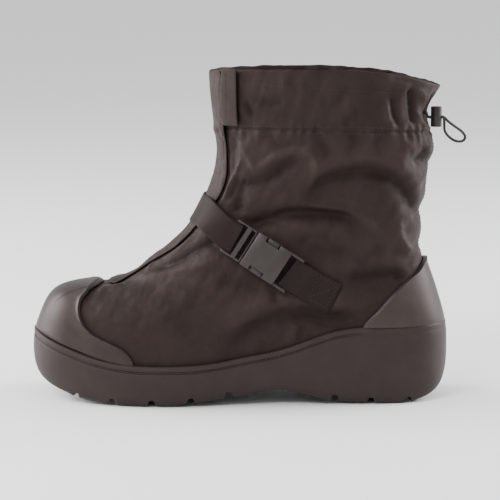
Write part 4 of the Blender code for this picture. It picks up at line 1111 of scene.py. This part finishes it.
# Buckle
# Side-release buckle in hard moulded plastic, fastened. The ladder half holds the instep strap and the body
# holds the short strap. Both are the CAD's own shapes with their edges rounded.
buckle_plastic = new_material("buckle_plastic", (0.0182, 0.0158, 0.0152), 0.38, {"Specular IOR Level": 0.3})
where = place_of(buckle_plastic)
cloudy = scaled(buckle_plastic, noise(buckle_plastic, where, 60.0, 5.0), 0.35, 0.7, 0, 1)
set_shader(buckle_plastic,
           color=blend_colour(buckle_plastic, cloudy, (0.0218, 0.0158, 0.0147), (0.0279, 0.0207, 0.0194)),
           roughness=scaled(buckle_plastic, noise(buckle_plastic, where, 700.0), 0.3, 0.7, 0.34, 0.5),
           normal=bumps(buckle_plastic, [(noise(buckle_plastic, where, 2400.0), 0.0001, 0.4)]))
for node in ("buckle_ladder", "buckle_body"):
    half = cast_of(node, node.replace("buckle_", "buckle_half_"), 0)
    pick(half)
    round_edge = half.modifiers.new("edge", "BEVEL")
    round_edge.width = 0.35 * MM
    round_edge.segments = 2
    round_edge.limit_method = "ANGLE"
    bpy.ops.object.modifier_apply(modifier="edge")
    bpy.ops.object.shade_smooth_by_angle(angle=math.radians(40))
    wear_material(half, buckle_plastic)
    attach(half, "root")
    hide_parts(node)


# Studio
# A plain pale floor, wide soft lights from the left, the right and in front, and an even pale surround.
FLOOR_REACH = 30000
FLOOR_Z = -0.4
corner_signs = ((-1, -1), (1, -1), (1, 1), (-1, 1))
floor_corners = [(x * FLOOR_REACH, y * FLOOR_REACH, FLOOR_Z) for x, y in corner_signs]
floor = add_mesh("floor", floor_corners, ((0, 1, 2, 3),))
floor_paint = new_material("floor_paint", (0.92, 0.92, 0.92), 0.6)
wear_material(floor, floor_paint)


def soft_light(name, place, aim, size, power):
    light = bpy.data.lights.new(name, "AREA")
    light.shape = "RECTANGLE"
    light.size = size[0]
    light.size_y = size[1]
    light.energy = power
    lamp = bpy.data.objects.new(name, light)
    bpy.context.scene.collection.objects.link(lamp)
    lamp.location = place
    lamp.rotation_euler = (Vector(aim) - Vector(place)).to_track_quat("-Z", "Y").to_euler()


soft_light("left_light", (-1.6, 0.35, 0.75), (0.0, 0.0, 0.10), (1.3, 1.2), 64.0)
soft_light("right_light", (1.6, 0.45, 0.75), (0.0, 0.0, 0.14), (1.0, 1.2), 44.0)
soft_light("front_light", (-0.9, -1.3, 1.3), (0.0, 0.0, 0.1), (0.9, 0.6), 28.0)
SURROUND_LIGHT = 1.06
surround = bpy.data.worlds.new("surround")
surround.use_nodes = True
surround.node_tree.nodes["Background"].inputs[0].default_value = (1.0, 1.0, 1.0, 1.0)
surround.node_tree.nodes["Background"].inputs[1].default_value = SURROUND_LIGHT
bpy.context.scene.world = surround
